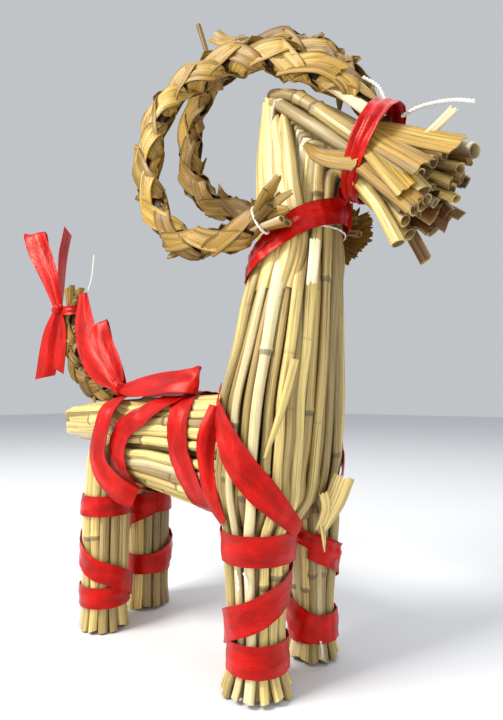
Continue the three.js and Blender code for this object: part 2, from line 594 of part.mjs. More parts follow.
piece('right_front_leg_ribbon', rightFrontRibbon, RED_SATIN);
piece('left_front_leg_ribbon', leftFrontRibbon, RED_SATIN);
piece('right_hind_leg_ribbon', rightHindRibbon, RED_SATIN);
piece('left_hind_leg_ribbon', leftHindRibbon, RED_SATIN);
piece('right_breast_ribbon', wrap(neck, rightBreastRoute, { steps: 12 }), RED_SATIN);
piece('left_breast_ribbon', wrap(neck, leftBreastRoute, { steps: 12, width: 10 }), RED_SATIN);
piece('right_rump_ribbon', freeStrip(rumpRibbonSide, rumpRibbonFaces, { steps: 8 }), RED_SATIN);
piece('left_rump_ribbon', freeStrip(mirrored(rumpRibbonSide), mirroredFaces(rumpRibbonFaces), { steps: 8 }),
  RED_SATIN);
piece('rear_girth_ribbon', wrap(trunk, rearGirthRoute, { steps: 26, closed: true, lift: 2 }), RED_SATIN);
piece('front_girth_ribbon', wrap(trunk, frontGirthRoute, { steps: 26, closed: true }), RED_SATIN);
piece('back_bow', backBow(), RED_SATIN);
piece('tail_ribbon_strand', tailStrand(), RED_SATIN);
piece('tail_ribbon_loop', tailLoop(), RED_SATIN);
piece('tail_bow', tailBow(), RED_SATIN);
piece('halter_ribbon', halter(), RED_SATIN);
piece('collar_ribbon', collar, RED_SATIN);

piece('neck_string', neckString(), WHITE_STRING);
piece('right_horn_thread', ringOfString(vec(7, -26.3, 187.4), vec(0.9, 0, 0.4), 7, 1.2, 0.52), WHITE_STRING);
piece('left_horn_thread', ringOfString(vec(15, 26.4, 194), vec(0.93, 0, -0.36), 7, 1.2, 0.52), WHITE_STRING);
piece('snout_string_short_end', cord([vec(49.5, 0, 235), vec(46.5, 0.5, 242), vec(40, 0.5, 248.5)], 1.5, 4, 6),
  WHITE_STRING);
piece('snout_string_long_end', cord([vec(57, -2, 225.2), vec(63.5, -2.4, 226.2), vec(70, -2.7, 225.8),
  vec(77.5, -2.8, 224.2), vec(84, -3, 221.4)], 1.5, 7, 6), WHITE_STRING);
piece('tail_thread', cord([vec(-141, 1, 181), vec(-138, 1, 188), vec(-136, 1, 202)], 1, 4, 5), WHITE_STRING);

goat.updateMatrixWorld(true);
const box = new THREE.Box3().setFromObject(goat);
goat.position.set(-(box.min.x + box.max.x) / 2, -(box.min.y + box.max.y) / 2, -box.min.z);
export default goat;
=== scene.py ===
# %% [markdown]
# # A straw Yule goat
# The real goat is dry straw. Bundles of hollow stalks stand as legs and neck, fold over at the poll and fan out
# as the snout, and another bundle lies across as the trunk. Horns and tail are plaited from flat leaf, and red
# satin ribbon and white string hold it all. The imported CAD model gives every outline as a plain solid. This
# lesson puts real stalks, leaves, ribbons and string round those solids, and hides each solid that it replaces.
# All sizes are in millimetres, from a point on the ground between the front feet, with +X towards the snout,
# +Y to the goat's left and +Z up. They become metres in the frame only when a mesh is written.

# %% Load the frame
import json
import math
import random
import bpy
import numpy as np
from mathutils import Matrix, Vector


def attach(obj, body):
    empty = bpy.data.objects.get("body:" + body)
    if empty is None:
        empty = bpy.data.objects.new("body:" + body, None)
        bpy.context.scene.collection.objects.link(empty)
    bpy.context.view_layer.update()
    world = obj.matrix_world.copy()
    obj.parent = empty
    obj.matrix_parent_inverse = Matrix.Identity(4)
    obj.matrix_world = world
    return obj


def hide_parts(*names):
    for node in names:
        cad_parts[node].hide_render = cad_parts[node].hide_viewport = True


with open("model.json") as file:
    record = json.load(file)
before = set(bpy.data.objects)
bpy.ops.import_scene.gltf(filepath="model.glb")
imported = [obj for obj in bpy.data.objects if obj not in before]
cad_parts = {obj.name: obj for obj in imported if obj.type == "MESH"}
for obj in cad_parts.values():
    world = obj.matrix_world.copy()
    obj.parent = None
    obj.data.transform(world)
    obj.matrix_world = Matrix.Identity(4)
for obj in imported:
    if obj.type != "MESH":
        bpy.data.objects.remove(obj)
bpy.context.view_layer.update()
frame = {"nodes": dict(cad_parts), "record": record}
random.seed(7)
MM = 0.001
foot = next(m for m in frame["record"]["mounts"] if m["name"] == "right_front_foot")["pos_m"]
ORIGIN = np.array(foot) - np.array((0, -18.6, 0)) * MM
print("goat frame origin:", ORIGIN)

# %% [markdown]
# ## Measuring the frame
# A tied bundle is nearly an oval wherever it is cut. So instead of copying sizes out of the CAD source, a plane
# cuts each solid in a ring of points, and the ring's middle and half widths say where the stalks go. If the
# solids change, the stalks follow.

# %% Cuts of the CAD nodes
X, Y, Z = np.eye(3)


def row(*numbers):
    return np.array(numbers, float)


def unit(v):
    v = np.array(v, float)
    return v / max(np.linalg.norm(v), 1e-9)


def walked(points):
    """How far along a line of points each one is."""
    return np.concatenate([[0], np.cumsum(np.linalg.norm(np.diff(points, axis=0), axis=1))])


def cut(node, point, normal):
    """The points where a plane cuts a CAD node, in millimetres."""
    mesh = frame["nodes"][node].data
    corners = np.array([v.co for v in mesh.vertices], float)
    corners = (corners - ORIGIN) / MM
    ends = np.array([e.vertices[:] for e in mesh.edges])
    side = (corners - point) @ normal
    a, b = ends.T
    crossing = side[a] * side[b] < 0
    a, b = a[crossing], b[crossing]
    share = side[a] / (side[a] - side[b])
    return corners[a] + share[:, None] * (corners[b] - corners[a])


def station(node, point, u, v):
    """A ring of a bundle: its centre, the directions of its two half widths, and the half widths."""
    u, v, point = unit(u), unit(v), np.array(point, float)
    ring = cut(node, point, np.cross(u, v)) - point
    along_u, along_v = ring @ u, ring @ v
    centre = point + u * (along_u.max() + along_u.min()) / 2 + v * (along_v.max() + along_v.min()) / 2
    return {"c": centre, "u": u, "v": v, "a": np.ptp(along_u) / 2, "b": np.ptp(along_v) / 2}


def level(node, z):
    """The ring at a height z of an upright bundle. s is its place along the bundle."""
    return {"s": z, **station(node, (0, 0, z), X, Y)}


print("half widths of the neck at 137 mm:", [round(level("neck_straw", 137)[key], 1) for key in "ab"])

# %% Places on a ring and on a bundle of rings
def ring_point(st, degrees, lift=0.0, roundness=1.0):
    """A point of a ring, moved out by lift. A roundness under 1 makes the oval squarer."""
    c, s = math.cos(math.radians(degrees)), math.sin(math.radians(degrees))
    across = math.copysign(abs(c) ** roundness, c) * (st["a"] + lift)
    along = math.copysign(abs(s) ** roundness, s) * (st["b"] + lift)
    return st["c"] + st["u"] * across + st["v"] * along


def even_angles(st, count, inset=2.4):
    """Angles that lie evenly along a ring."""
    fine = np.linspace(0, 360, 181)
    walk = walked(np.array([ring_point(st, d, -inset) for d in fine]))
    return np.interp((np.arange(count) + 0.5) / count * walk[-1], walk, fine)


def bundle_point(rings, s, degrees, lift, roundness=1.0):
    """A point of a whole bundle, s along it, between its two nearest rings."""
    places = [ring["s"] for ring in rings]
    i = int(np.clip(np.searchsorted(places, s) - 1, 0, len(rings) - 2))
    t = (s - places[i]) / (places[i + 1] - places[i])
    near, far = (ring_point(rings[j], degrees, lift, roundness) for j in (i, i + 1))
    return near + (far - near) * t

# %% The rings of legs, neck, head and trunk
CUTS = {"front": (1, 4, 9, 16, 25, 40, 52, 62), "hind": (1, 5, 10, 25, 40, 56, 73, 88)}
OUTWARD = {"right": 270, "left": 90}
leg_rings, leg_outward = {}, {}
for pair, heights in CUTS.items():
    for side, outward in OUTWARD.items():
        leg = f"{side}_{pair}"
        leg_rings[leg] = [level(leg + "_leg_straw", z) for z in heights]
        leg_outward[leg] = outward
neck_rings = [level("neck_straw", z) for z in (66, 76, 86, 100, 115, 137, 163, 186)]
# The mitre is the slanting plane in which the neck's stalks fold over into the head's.
mitre = {"c": row(13, 0, 231.5), "u": unit((36, 0, -53)), "v": Y, "a": 32.0, "b": 14.5}
head_rings = [station("head_straw", (28.5, 0, 223), (0.2, 0, -0.98), Y),
              station("head_straw", (41, 0, 212), (-0.458, 0, -0.889), Y)]
snout_end = {"c": row(70.5, 0, 191.5), "u": unit((-0.727, 0, -0.687)), "v": Y, "a": 20.5, "b": 19.0}
trunk_rings = [{"s": x, **station("trunk_straw", (x, 0, 98), Y, Z)} for x in (-126, -108, -89, -84, -60, -31)]
trunk_rings.append({**trunk_rings[-1], "s": -8, "c": trunk_rings[-1]["c"] + row(23, 0, 1)})
print("neck half widths:", [(round(r["a"]), round(r["b"])) for r in neck_rings])
print("trunk half heights:", [round(r["b"]) for r in trunk_rings])

# %% [markdown]
# ## Straight shapes, modelled once
# Everything on the goat is one of three things: a hollow stalk, a solid strand or a flat strip. Each could be
# drawn as a curve with a bevel, but a curve has no hollow end and no face that can turn. So each is modelled once,
# straight and one unit long. The stalk is a cylinder: its side edges are subdivided, and each end is inset and
# pushed in, which leaves a thin wall and an open mouth. Every copy is bent along its own path later.

# %% Model a straight tube, hollow or solid
WALL, SOLID_RIM = 0.17, 0.4  # Insets of a hollow and of a solid end, as shares of the radius.


def deselect():
    if bpy.context.object and bpy.context.object.mode != "OBJECT":
        bpy.ops.object.mode_set(mode="OBJECT")
    bpy.ops.object.select_all(action="DESELECT")


def select_in_edit(obj, kind, chosen):
    """Selects the vertices, edges or faces that chosen picks, and leaves the object in edit mode."""
    bpy.ops.object.mode_set(mode="EDIT")
    bpy.ops.mesh.select_mode(type={"vertices": "VERT", "edges": "EDGE", "polygons": "FACE"}[kind])
    bpy.ops.mesh.select_all(action="DESELECT")
    bpy.ops.object.mode_set(mode="OBJECT")
    for element in getattr(obj.data, kind):
        element.select = bool(chosen(element))
    bpy.ops.object.mode_set(mode="EDIT")


def straight_tube(name, rings, sides, hollow=True):
    """A tube of radius 1 from z = 0 to z = 1."""
    deselect()
    bpy.ops.mesh.primitive_cylinder_add(vertices=sides, radius=1, depth=1, location=(0, 0, 0.5))
    tube = bpy.context.object
    tube.name = name
    bpy.ops.object.transform_apply(location=True, rotation=False, scale=False)
    corner = tube.data.vertices
    select_in_edit(tube, "edges",
                   lambda e: abs(corner[e.vertices[0]].co.z - corner[e.vertices[1]].co.z) > 0.5)
    bpy.ops.mesh.subdivide(number_cuts=rings - 1)
    bpy.ops.object.mode_set(mode="OBJECT")
    for end, inward in ((0, 1), (1, -1)):
        select_in_edit(tube, "polygons", lambda f: abs(f.center.z - end) < 1e-4)
        bpy.ops.mesh.inset(thickness=WALL if hollow else SOLID_RIM, depth=0)
        if hollow:
            bpy.ops.mesh.extrude_region_move(TRANSFORM_OT_translate={"value": (0, 0, inward / rings)})
        bpy.ops.object.mode_set(mode="OBJECT")
    deselect()
    return tube

# %% Model a straight strip, and every shape in use
def straight_strip(name, steps, across):
    """A flat strip from z = 0 to z = 1, one unit wide in x, its face towards +y."""
    deselect()
    bpy.ops.mesh.primitive_grid_add(x_subdivisions=across, y_subdivisions=steps, size=1)
    strip = bpy.context.object
    strip.name = name
    strip.rotation_euler = (math.pi / 2, 0, 0)
    strip.location = (0, 0, 0.5)
    bpy.ops.object.transform_apply(location=True, rotation=True, scale=False)
    deselect()
    return strip


RINGS = {"long_stalk": 90, "stalk": 40, "short_stalk": 14}
STRIPS = {"ribbon": (120, 10), "short_ribbon": (40, 10), "leaf": (16, 8)}
STRANDS = {"strand": (160, 14), "thread": (60, 6), "ring_thread": (150, 6)}
STALK_SIDES = 12
SHAPES = {name: straight_tube(name, rings, STALK_SIDES) for name, rings in RINGS.items()}
SHAPES |= {name: straight_tube(name, *cuts, hollow=False) for name, cuts in STRANDS.items()}
SHAPES |= {name: straight_strip(name, *cuts) for name, cuts in STRIPS.items()}
BASE = {name: np.array([v.co for v in obj.data.vertices], float) for name, obj in SHAPES.items()}
print({name: len(points) for name, points in BASE.items()})

# %% [markdown]
# ## Bending a copy along a path
# Stalks, leaves and ribbons wander, fold and turn over, so each follows a smooth path through a few points.
# Directions across the path are carried along without twist, or follow given face directions, and each corner
# of the straight shape is moved to its place beside the path. Blender's Curve modifier bends too, but it can't
# turn a ribbon's face or change a stalk's section at its joints.

# %% Smooth paths and the directions along them
FINE_STEPS = 24


def smooth(points, step=1.0):
    """A smooth curve through rows of numbers, at even steps of length. The first three are the place."""
    rows = np.array(points, float)
    gaps = np.maximum(np.linalg.norm(np.diff(rows[:, :3], axis=0), axis=1), 1e-6) ** 0.5
    slopes = np.diff(rows, axis=0) / gaps[:, None]
    tangents = np.empty_like(rows)
    tangents[0], tangents[-1] = slopes[0], slopes[-1]
    before, after = gaps[:-1, None], gaps[1:, None]
    tangents[1:-1] = (slopes[:-1] * after + slopes[1:] * before) / (before + after)
    fine = []
    for i, gap in enumerate(gaps):
        t = np.linspace(0, 1, FINE_STEPS, endpoint=i == len(gaps) - 1)[:, None]
        fine.append((2 * t**3 - 3 * t**2 + 1) * rows[i] + (t**3 - 2 * t**2 + t) * gap * tangents[i]
                    + (3 * t**2 - 2 * t**3) * rows[i + 1] + (t**3 - t**2) * gap * tangents[i + 1])
    fine = np.concatenate(fine)
    walk = walked(fine[:, :3])
    marks = np.linspace(0, walk[-1], max(4, round(walk[-1] / step)))
    return np.array([np.interp(marks, walk, column) for column in fine.T]).T


def marks_of(path):
    """The path's length, and an even mark for each of its rows."""
    total = walked(path[:, :3])[-1]
    return total, np.linspace(0, total, len(path))


def pick(rows, walk, distance):
    """Values of rows, which lie at walk, at other distances."""
    return np.array([np.interp(distance, walk, column) for column in rows.T]).T


def normalised(rows):
    return rows / np.maximum(np.linalg.norm(rows, axis=1, keepdims=True), 1e-9)


def tangents(path):
    return normalised(np.gradient(path[:, :3], axis=0))


def frames(path, faces=None, first=None):
    """The tangent, side and face directions along a path."""
    tangent = tangents(path)
    if faces is None:
        face = np.empty_like(tangent)
        held = unit(first) if first is not None else unit(np.cross(tangent[0], (0.3, 0.9, 0.2)))
        for i, t in enumerate(tangent):
            held = unit(held - t * (held @ t))
            face[i] = held
    else:
        face = normalised(faces - tangent * np.sum(faces * tangent, axis=1, keepdims=True))
    return tangent, np.cross(face, tangent), face


print("a path of 30 mm has", len(smooth([(0, 0, 0), (30, 0, 0)])), "rows")

# %% Bend a copy of a shape
def bend(shape, path, half_width, half_thickness=None, faces=None, first=None, stations=None, profile=None):
    """Corners of a copy of a straight shape laid along a path. The profile moves them across it."""
    base = BASE[shape]
    walk = walked(path[:, :3])
    if stations is None:
        distance = base[:, 2] * walk[-1]
    else:
        distance = np.interp(base[:, 2], np.linspace(0, 1, len(stations)), stations)
    tangent, side, face = frames(path, faces, first)
    place = pick(path[:, :3], walk, distance)
    side, face = (normalised(pick(rows, walk, distance)) for rows in (side, face))
    x, y = base[:, 0].copy(), base[:, 1].copy()
    if profile is not None:
        x, y = profile(x, y, distance, walk[-1])
    wide = half_width(distance) if callable(half_width) else half_width
    thick = wide if half_thickness is None else half_thickness
    return place + side * (x * wide)[:, None] + face * (y * thick)[:, None], distance


print("a bent stalk reaches", bend("stalk", smooth([(0, 0, 0), (12, 0, 20), (30, 0, 30)]), 2.5)[0].max(axis=0))

# %% Copies, their tags and their thickness
def copy_of(shape, corners):
    """A new object with its own copy of a straight shape's mesh, its corners moved into place."""
    obj = bpy.data.objects.new(shape, SHAPES[shape].data.copy())
    bpy.context.scene.collection.objects.link(obj)
    obj.data.vertices.foreach_set("co", (ORIGIN + corners * MM).ravel())
    obj.data.update()
    return obj


def tag(obj, **layers):
    """Stores a number, a colour or a direction for each corner of a piece, for its material to read."""
    for name, values in layers.items():
        values = np.asarray(values, np.float32)
        kind, key = {1: ("FLOAT", "value"), 3: ("FLOAT_VECTOR", "vector"), 4: ("FLOAT_COLOR", "color")}[
            1 if values.ndim == 1 else values.shape[1]]
        layer = obj.data.attributes.new(name, kind, "POINT")
        layer.data.foreach_set(key, values.ravel())


def thicken(obj, thickness):
    """Gives a strip its thickness, half to each side."""
    deselect()
    obj.select_set(True)
    bpy.context.view_layer.objects.active = obj
    shell = obj.modifiers.new("thickness", "SOLIDIFY")
    shell.thickness = thickness * MM
    shell.offset = 0
    bpy.ops.object.modifier_apply(modifier=shell.name)
    return obj

# %% Join copies into a finished piece
def joined(objects, name, material, slot, *nodes, angle=60):
    """Joins copies into one finished piece that takes the place of CAD nodes."""
    deselect()
    for obj in objects:
        obj.select_set(True)
    bpy.context.view_layer.objects.active = objects[0]
    if len(objects) > 1:
        bpy.ops.object.join()
    piece = bpy.context.object
    piece.name = name
    piece.data.name = name
    piece.data.materials.clear()
    piece.data.materials.append(material)
    bpy.ops.object.shade_smooth_by_angle(angle=math.radians(angle))
    deselect()
    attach(piece, "root")
    if nodes:
        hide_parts(*nodes)
    print(name, len(piece.data.polygons), "faces from", len(objects), "copies")
    return piece

# %% [markdown]
# ## Straw
# Dry straw has a glossy skin, streaks along its fibres, dark joints, and dust where it has been handled. A picture
# of straw could be wrapped round each stalk, but it would smear at the bends and repeat itself. So the colour is
# mixed from noise that is stretched along the stalk. It reads three things that each stalk carries: grain, a place
# in millimetres across and along it, look, its tone, paleness, soiling and painted shade, and hollow, and node_mm,
# how far along it is from its nearest joint. Plaited leaf is the same straw, browner and duller.

# %% A short way to write a material
class Nodes:
    """The node tree of a new material, with a method for each kind of node."""

    def __init__(self, name):
        self.material = bpy.data.materials.new(name)
        self.material.use_nodes = True
        self.tree = self.material.node_tree
        self.shader = self.tree.nodes["Principled BSDF"]

    def add(self, kind, **settings):
        node = self.tree.nodes.new(kind)
        inputs = settings.pop("inputs", {})
        for key, value in settings.items():
            setattr(node, key, value)
        for key, value in inputs.items():
            self.put(node.inputs[key], value)
        return node

    def put(self, socket, value):
        if isinstance(value, bpy.types.NodeSocket):
            self.tree.links.new(value, socket)
        else:
            socket.default_value = value

    def attribute(self, name):
        return self.add("ShaderNodeAttribute", attribute_name=name)

    def math(self, operation, *values):
        node = self.add("ShaderNodeMath", operation=operation)
        for socket, value in zip(node.inputs, values):
            self.put(socket, value)
        return node.outputs[0]

    def times(self, a, b):
        return self.math("MULTIPLY", a, b)

    def plus(self, a, b):
        return self.math("ADD", a, b)

    def noise(self, vector, scale, detail=3.0, roughness=0.5):
        """Noise, squeezed or stretched along each direction by its scale."""
        scaled = self.add("ShaderNodeMapping", inputs={"Vector": vector, "Scale": scale}).outputs[0]
        return self.add("ShaderNodeTexNoise", inputs={
            "Vector": scaled, "Scale": 1.0, "Detail": detail, "Roughness": roughness}).outputs["Fac"]

    def ramp(self, value, stops):
        """Turns a value into a colour or a grey, from stops of place and colour."""
        node = self.add("ShaderNodeValToRGB", inputs={"Fac": value})
        elements = node.color_ramp.elements
        while len(elements) < len(stops):
            elements.new(0.5)
        for element, (place, colour) in zip(elements, stops):
            element.position = place
            element.color = (*colour, 1) if isinstance(colour, tuple) else (colour,) * 3 + (1,)
        return node.outputs["Color"]

    def mix(self, share, a, b, blend="MIX"):
        node = self.add("ShaderNodeMix", data_type="RGBA", blend_type=blend)
        for key, value in ((0, share), (6, a), (7, b)):
            value = (*value, 1) if isinstance(value, tuple) and len(value) == 3 else value
            self.put(node.inputs[key], value)
        return node.outputs[2]

    def bump(self, height, strength, distance, normal=None):
        inputs = {"Height": height, "Strength": strength, "Distance": distance}
        if normal is not None:
            inputs["Normal"] = normal
        return self.add("ShaderNodeBump", inputs=inputs).outputs[0]

    def surface(self, **inputs):
        """Sets inputs of the surface. An underscore stands for a space."""
        for name, value in inputs.items():
            self.put(self.shader.inputs[name.replace("_", " ")], value)
        return self.material

# %% Straw and plaited straw
def straw_material(name, tones, fibre=1.0, shine=0.6, brown=(0.16, 0.08, 0.02)):
    n = Nodes(name)
    grain = n.attribute("grain").outputs["Vector"]
    look = n.add("ShaderNodeSeparateColor", inputs={"Color": n.attribute("look").outputs["Color"]})
    tone, pale, soil = look.outputs[0], look.outputs[1], look.outputs[2]
    hollow = n.attribute("look").outputs["Alpha"]
    joint = n.attribute("node_mm").outputs["Fac"]
    # The tone drifts along the stalk, and fine lines and broader bands follow its fibres.
    drift = n.noise(grain, (0.25, 0.25, 0.022), 2)
    colour = n.ramp(n.plus(tone, n.times(n.math("SUBTRACT", drift, 0.5), 0.42)), tones)
    lines = n.noise(grain, (2.2, 2.2, 0.03), 5, 0.68)
    streak = n.ramp(lines, [(0.33, 0.16), (0.44, 0.8), (0.54, 1.0), (0.66, 1.35)])
    colour = n.mix(min(1.0, 0.85 * fibre), colour, streak, "MULTIPLY")
    broad = n.ramp(n.noise(grain, (0.8, 0.8, 0.012), 3), [(0.36, 0.60), (0.52, 1.0), (0.72, 1.14)])
    colour = n.mix(0.85, colour, broad, "MULTIPLY")
    # Greyer below a joint, over 50 mm, and paler where the outer skin is bleached.
    below = n.ramp(n.math("MULTIPLY_ADD", joint, 0.02, 1.0), [(0.0, 0.0), (0.6, 0.7), (0.98, 1.0), (1.0, 0.0)])
    colour = n.mix(n.times(below, 0.36), colour, (0.24, 0.165, 0.06))
    sheen = n.ramp(n.noise(grain, (0.5, 0.5, 0.05), 3), [(0.35, 0.55), (0.6, 1.0)])
    colour = n.mix(n.times(pale, sheen), colour, (0.84, 0.74, 0.50))
    # Blotches, specks and the dark ring of the joint itself.
    blotch = n.ramp(n.noise(grain, (0.75, 0.75, 0.16), 4, 0.6), [(0.60, 0.0), (0.72, 1.0)])
    colour = n.mix(n.times(blotch, 0.42), colour, (0.36, 0.25, 0.11))
    specks = n.ramp(n.noise(grain, (2.6, 2.6, 1.3), 2), [(0.70, 0.0), (0.76, 1.0)])
    colour = n.mix(n.times(specks, 0.55), colour, (0.13, 0.075, 0.03))
    ring = n.ramp(n.times(n.math("ABSOLUTE", n.plus(joint, lines)), 0.75), [(0.0, 1.0), (0.8, 0.85), (1.0, 0.0)])
    colour = n.mix(n.times(ring, 0.75), colour, (0.115, 0.075, 0.035))
    # Soil and painted shade, in the gaps and on deep stalks, turn it brown, and the inside of a cut end is pale
    # pith.
    colour = n.mix(soil, colour, n.mix(1.0, colour, brown, "MULTIPLY"))
    colour = n.mix(n.times(hollow, 0.3), colour, (0.60, 0.44, 0.20))
    rough = n.plus(n.plus(n.times(lines, 0.34), n.times(pale, -0.12)), 0.27)
    normal = n.bump(n.noise(grain, (0.8, 0.8, 0.05), 3), 0.35, 0.0006)
    fibres = n.bump(n.plus(lines, n.times(specks, -0.4)), 0.55, 0.00022, normal)
    return n.surface(Base_Color=colour, Roughness=rough, Specular_IOR_Level=shine, Normal=fibres)


STRAW = straw_material("straw", [
    (0.0, (0.19, 0.125, 0.038)), (0.22, (0.38, 0.275, 0.09)), (0.45, (0.62, 0.46, 0.145)),
    (0.70, (0.80, 0.61, 0.215)), (0.88, (0.76, 0.46, 0.125)), (1.0, (0.50, 0.26, 0.06))])
PLAIT = straw_material("plaited_straw", [
    (0.0, (0.12, 0.062, 0.010)), (0.30, (0.25, 0.14, 0.022)), (0.60, (0.42, 0.25, 0.042)),
    (0.85, (0.57, 0.37, 0.072)), (1.0, (0.70, 0.56, 0.23))], fibre=1.17, shine=0.3)
print("straw nodes:", len(STRAW.node_tree.nodes))

# %% [markdown]
# ## Satin and string
# Satin is woven so that most of its threads lie on the face. That gives a soft red gloss with fine slanting lines,
# and a firmer edge on each side. Real threads would need millions of faces, and a scanned cloth would not follow
# the ribbon. So waves along the ribbon's own UV, which is in millimetres, draw the weave as colour and bump.
# String is matt and linty, so plain noise is enough.

# %% Satin and string materials
def satin_material():
    """Red satin ribbon. Its UV is in millimetres along and across."""
    n = Nodes("red_satin")
    place = n.add("ShaderNodeUVMap", uv_map="ribbon").outputs[0]
    parts = n.add("ShaderNodeSeparateXYZ", inputs={"Vector": place})
    run, side = parts.outputs[0], parts.outputs[1]
    wobble = n.noise(place, (0.35, 0.35, 1), 2)
    slant = n.plus(n.times(run, 4.2), n.times(side, 6.4))
    twill = n.math("SINE", n.plus(slant, n.times(wobble, 3.0)))
    threads = n.math("SINE", n.times(run, 24.0))
    slubs = n.noise(place, (0.30, 4.0, 1), 3)
    weave = n.math("MULTIPLY_ADD", twill, 0.5, n.times(threads, 0.35))
    tint = n.ramp(n.math("MULTIPLY_ADD", weave, 0.3, n.times(slubs, 0.9)),
                  [(0.12, (0.17, 0.0005, 0.0005)), (0.42, (0.40, 0.0016, 0.0012)), (0.80, (0.66, 0.009, 0.005))])
    # Broad lighter and darker patches along the ribbon: painted light and shade of soft folds.
    painted_fold_shade = n.ramp(n.noise(place, (0.055, 0.16, 1), 1), [(0.34, 0.68), (0.50, 0.95), (0.66, 1.2)])
    tint = n.mix(1.0, tint, painted_fold_shade, "MULTIPLY")
    edge = n.math("GREATER_THAN", n.attribute("edge").outputs["Fac"], 0.88)
    colour = n.mix(n.times(edge, 0.35), tint, (0.30, 0.001, 0.003))
    soft = n.bump(n.noise(place, (0.07, 0.22, 1), 2), 0.5, 0.0011)
    return n.surface(
        Base_Color=colour, Roughness=n.math("MULTIPLY_ADD", slubs, 0.24, 0.20),
        Specular_IOR_Level=0.75, Specular_Tint=(1.0, 0.22, 0.18, 1),
        Sheen_Weight=0.02, Sheen_Roughness=0.35, Sheen_Tint=(1.0, 0.42, 0.42, 1),
        Normal=n.bump(n.plus(weave, slubs), 0.30, 0.00006, soft))


def string_material():
    n = Nodes("white_string")
    lint = n.noise(n.attribute("grain").outputs["Vector"], (6, 6, 1.2), 4, 0.6)
    white = n.ramp(lint, [(0.25, (0.58, 0.54, 0.45)), (0.6, (0.86, 0.84, 0.78))])
    return n.surface(Base_Color=white, Roughness=0.85, Normal=n.bump(lint, 0.6, 0.00012))


SATIN = satin_material()
STRING = string_material()
print("materials:", [m.name for m in (STRAW, PLAIT, SATIN, STRING)])

# %% [markdown]
# ## One stalk
# A dry stalk is a tube that is never quite round or straight. Once or twice along it there is a joint, where it
# swells and the straw below turns greyer, and its ends are cut at a slant. One stalk repeated would look like
# drinking straws, so each draws its own tone, section, joints, path and cuts. The random numbers start
# from a fixed seed, so the goat comes out the same each time.

# %% The stalk maker
FAR = 60.0  # Millimetres from a joint beyond which it no longer matters.
JOINT_RINGS = (-1.9, -0.9, 0, 0.9, 1.9)


def stalk(path, radius, shape="stalk", tone=None, pale=None, soil=0.0, out=None, joints=None, wander=0.35,
          squash=None, widen=None):
    """A hollow stalk along a path of points, in millimetres. out is the way its outer side faces."""
    path = smooth(path)
    total, marks = marks_of(path)
    loose = np.minimum(1, marks / 20) * np.minimum(1, (total - marks) / 20)
    for axis in (X, Y, Z):
        bow = math.sin(random.uniform(0, 6)) * np.sin(marks / random.uniform(14, 26) + random.uniform(0, 6))
        path[:, :3] += axis * (bow * wander * loose)[:, None]
    if joints is None:
        joints = [random.uniform(0.1, 0.9) * total]
        if total > 130:
            joints.append((joints[0] + random.uniform(0.35, 0.6) * total) % total)
    tone = random.choice((random.uniform(0.02, 0.3), random.uniform(0.35, 0.8), random.uniform(0.45, 0.95),
                          random.uniform(0.55, 0.75))) if tone is None else tone
    pale = (random.random() < 0.13) * random.uniform(0.4, 0.8) if pale is None else pale
    soil += 0.22 * (random.random() < 0.2)
    squash = random.uniform(0.82, 1.0) if squash is None else squash
    extra = [joint + step for joint in joints for step in JOINT_RINGS]
    even = np.linspace(0, total, RINGS[shape] + 1 - len(extra))
    stations = np.sort(np.clip(np.concatenate([even, extra]), 0, total))
    turn, lumps = random.uniform(0, 6), random.uniform(0, 6)
    cut_slant = random.uniform(-0.35, 0.35), random.uniform(-0.35, 0.35)

    def swell(distance):
        size = radius * (1 + 0.03 * np.sin(distance / 9 + lumps))
        for j in joints:
            away = distance - j
            size = size * (1 + 0.2 * np.exp(-(away / 1.4) ** 2)) * np.where(away < 0, 0.93, 1.0)
        return size

    def section(x, y, distance, length):
        angle = np.arctan2(y, x)
        reach = np.hypot(x, y) * (1 + 0.045 * np.sin(2 * angle + turn) + 0.03 * np.sin(3 * angle + lumps))
        flat = 1.0 if widen is None else np.interp(distance / length, *zip(*widen))
        return reach * np.cos(angle) * flat, reach * np.sin(angle) * squash / flat ** 0.8

    corners, distance = bend(shape, path, swell, stations=stations, profile=section, first=out)
    base = BASE[shape]
    tangent = tangents(path)
    for end, lean, way in ((0, cut_slant[0], tangent[0]), (1, cut_slant[1], tangent[-1])):
        near = np.abs(base[:, 2] - end) < 1e-4
        corners[near] += way * (lean * radius * base[near, 0])[:, None]
    obj = copy_of(shape, corners)
    offset = np.array([random.uniform(0, 400) for _ in range(3)])
    grain = np.stack([base[:, 0] * radius, base[:, 1] * radius, distance], axis=1) + offset
    nearest = np.full(len(base), FAR)
    for j in joints:
        away = distance - j
        nearest = np.where(np.abs(away) < np.abs(nearest), away, nearest)
    # The flanks, where a stalk meets its neighbours, get painted shade, and the inside of the tube is painted in
    # shade.
    inside = (np.hypot(base[:, 0], base[:, 1]) < 0.9).astype(float)
    painted_gap_shade = 0.0 if out is None else np.clip(0.38 - base[:, 1], 0, 1)
    shade = np.clip(np.clip(soil + painted_gap_shade, 0, 1) + inside * (np.abs(base[:, 2] - 0.5) < 0.4999), 0, 1)
    look = np.stack(np.broadcast_arrays(tone, pale, shade, inside), axis=1)
    tag(obj, grain=grain, look=look, node_mm=np.clip(nearest, -FAR, FAR))
    return obj

# %% [markdown]
# ## The front stalks
# On the real goat the front legs, neck and head are one bundle. Long stalks run from the foot up the leg and the
# neck, fold at the poll, pass through the halter and fan out in the snout. Legs, neck and head could be three
# sets of short stalks, but then nothing would run on under the ties. So each long stalk takes one point from
# every ring, always the same one in the ring's order. Every second one sinks to an inner layer where the bundle is
# tied tightly, because the narrow rings have no room for all of them side by side.

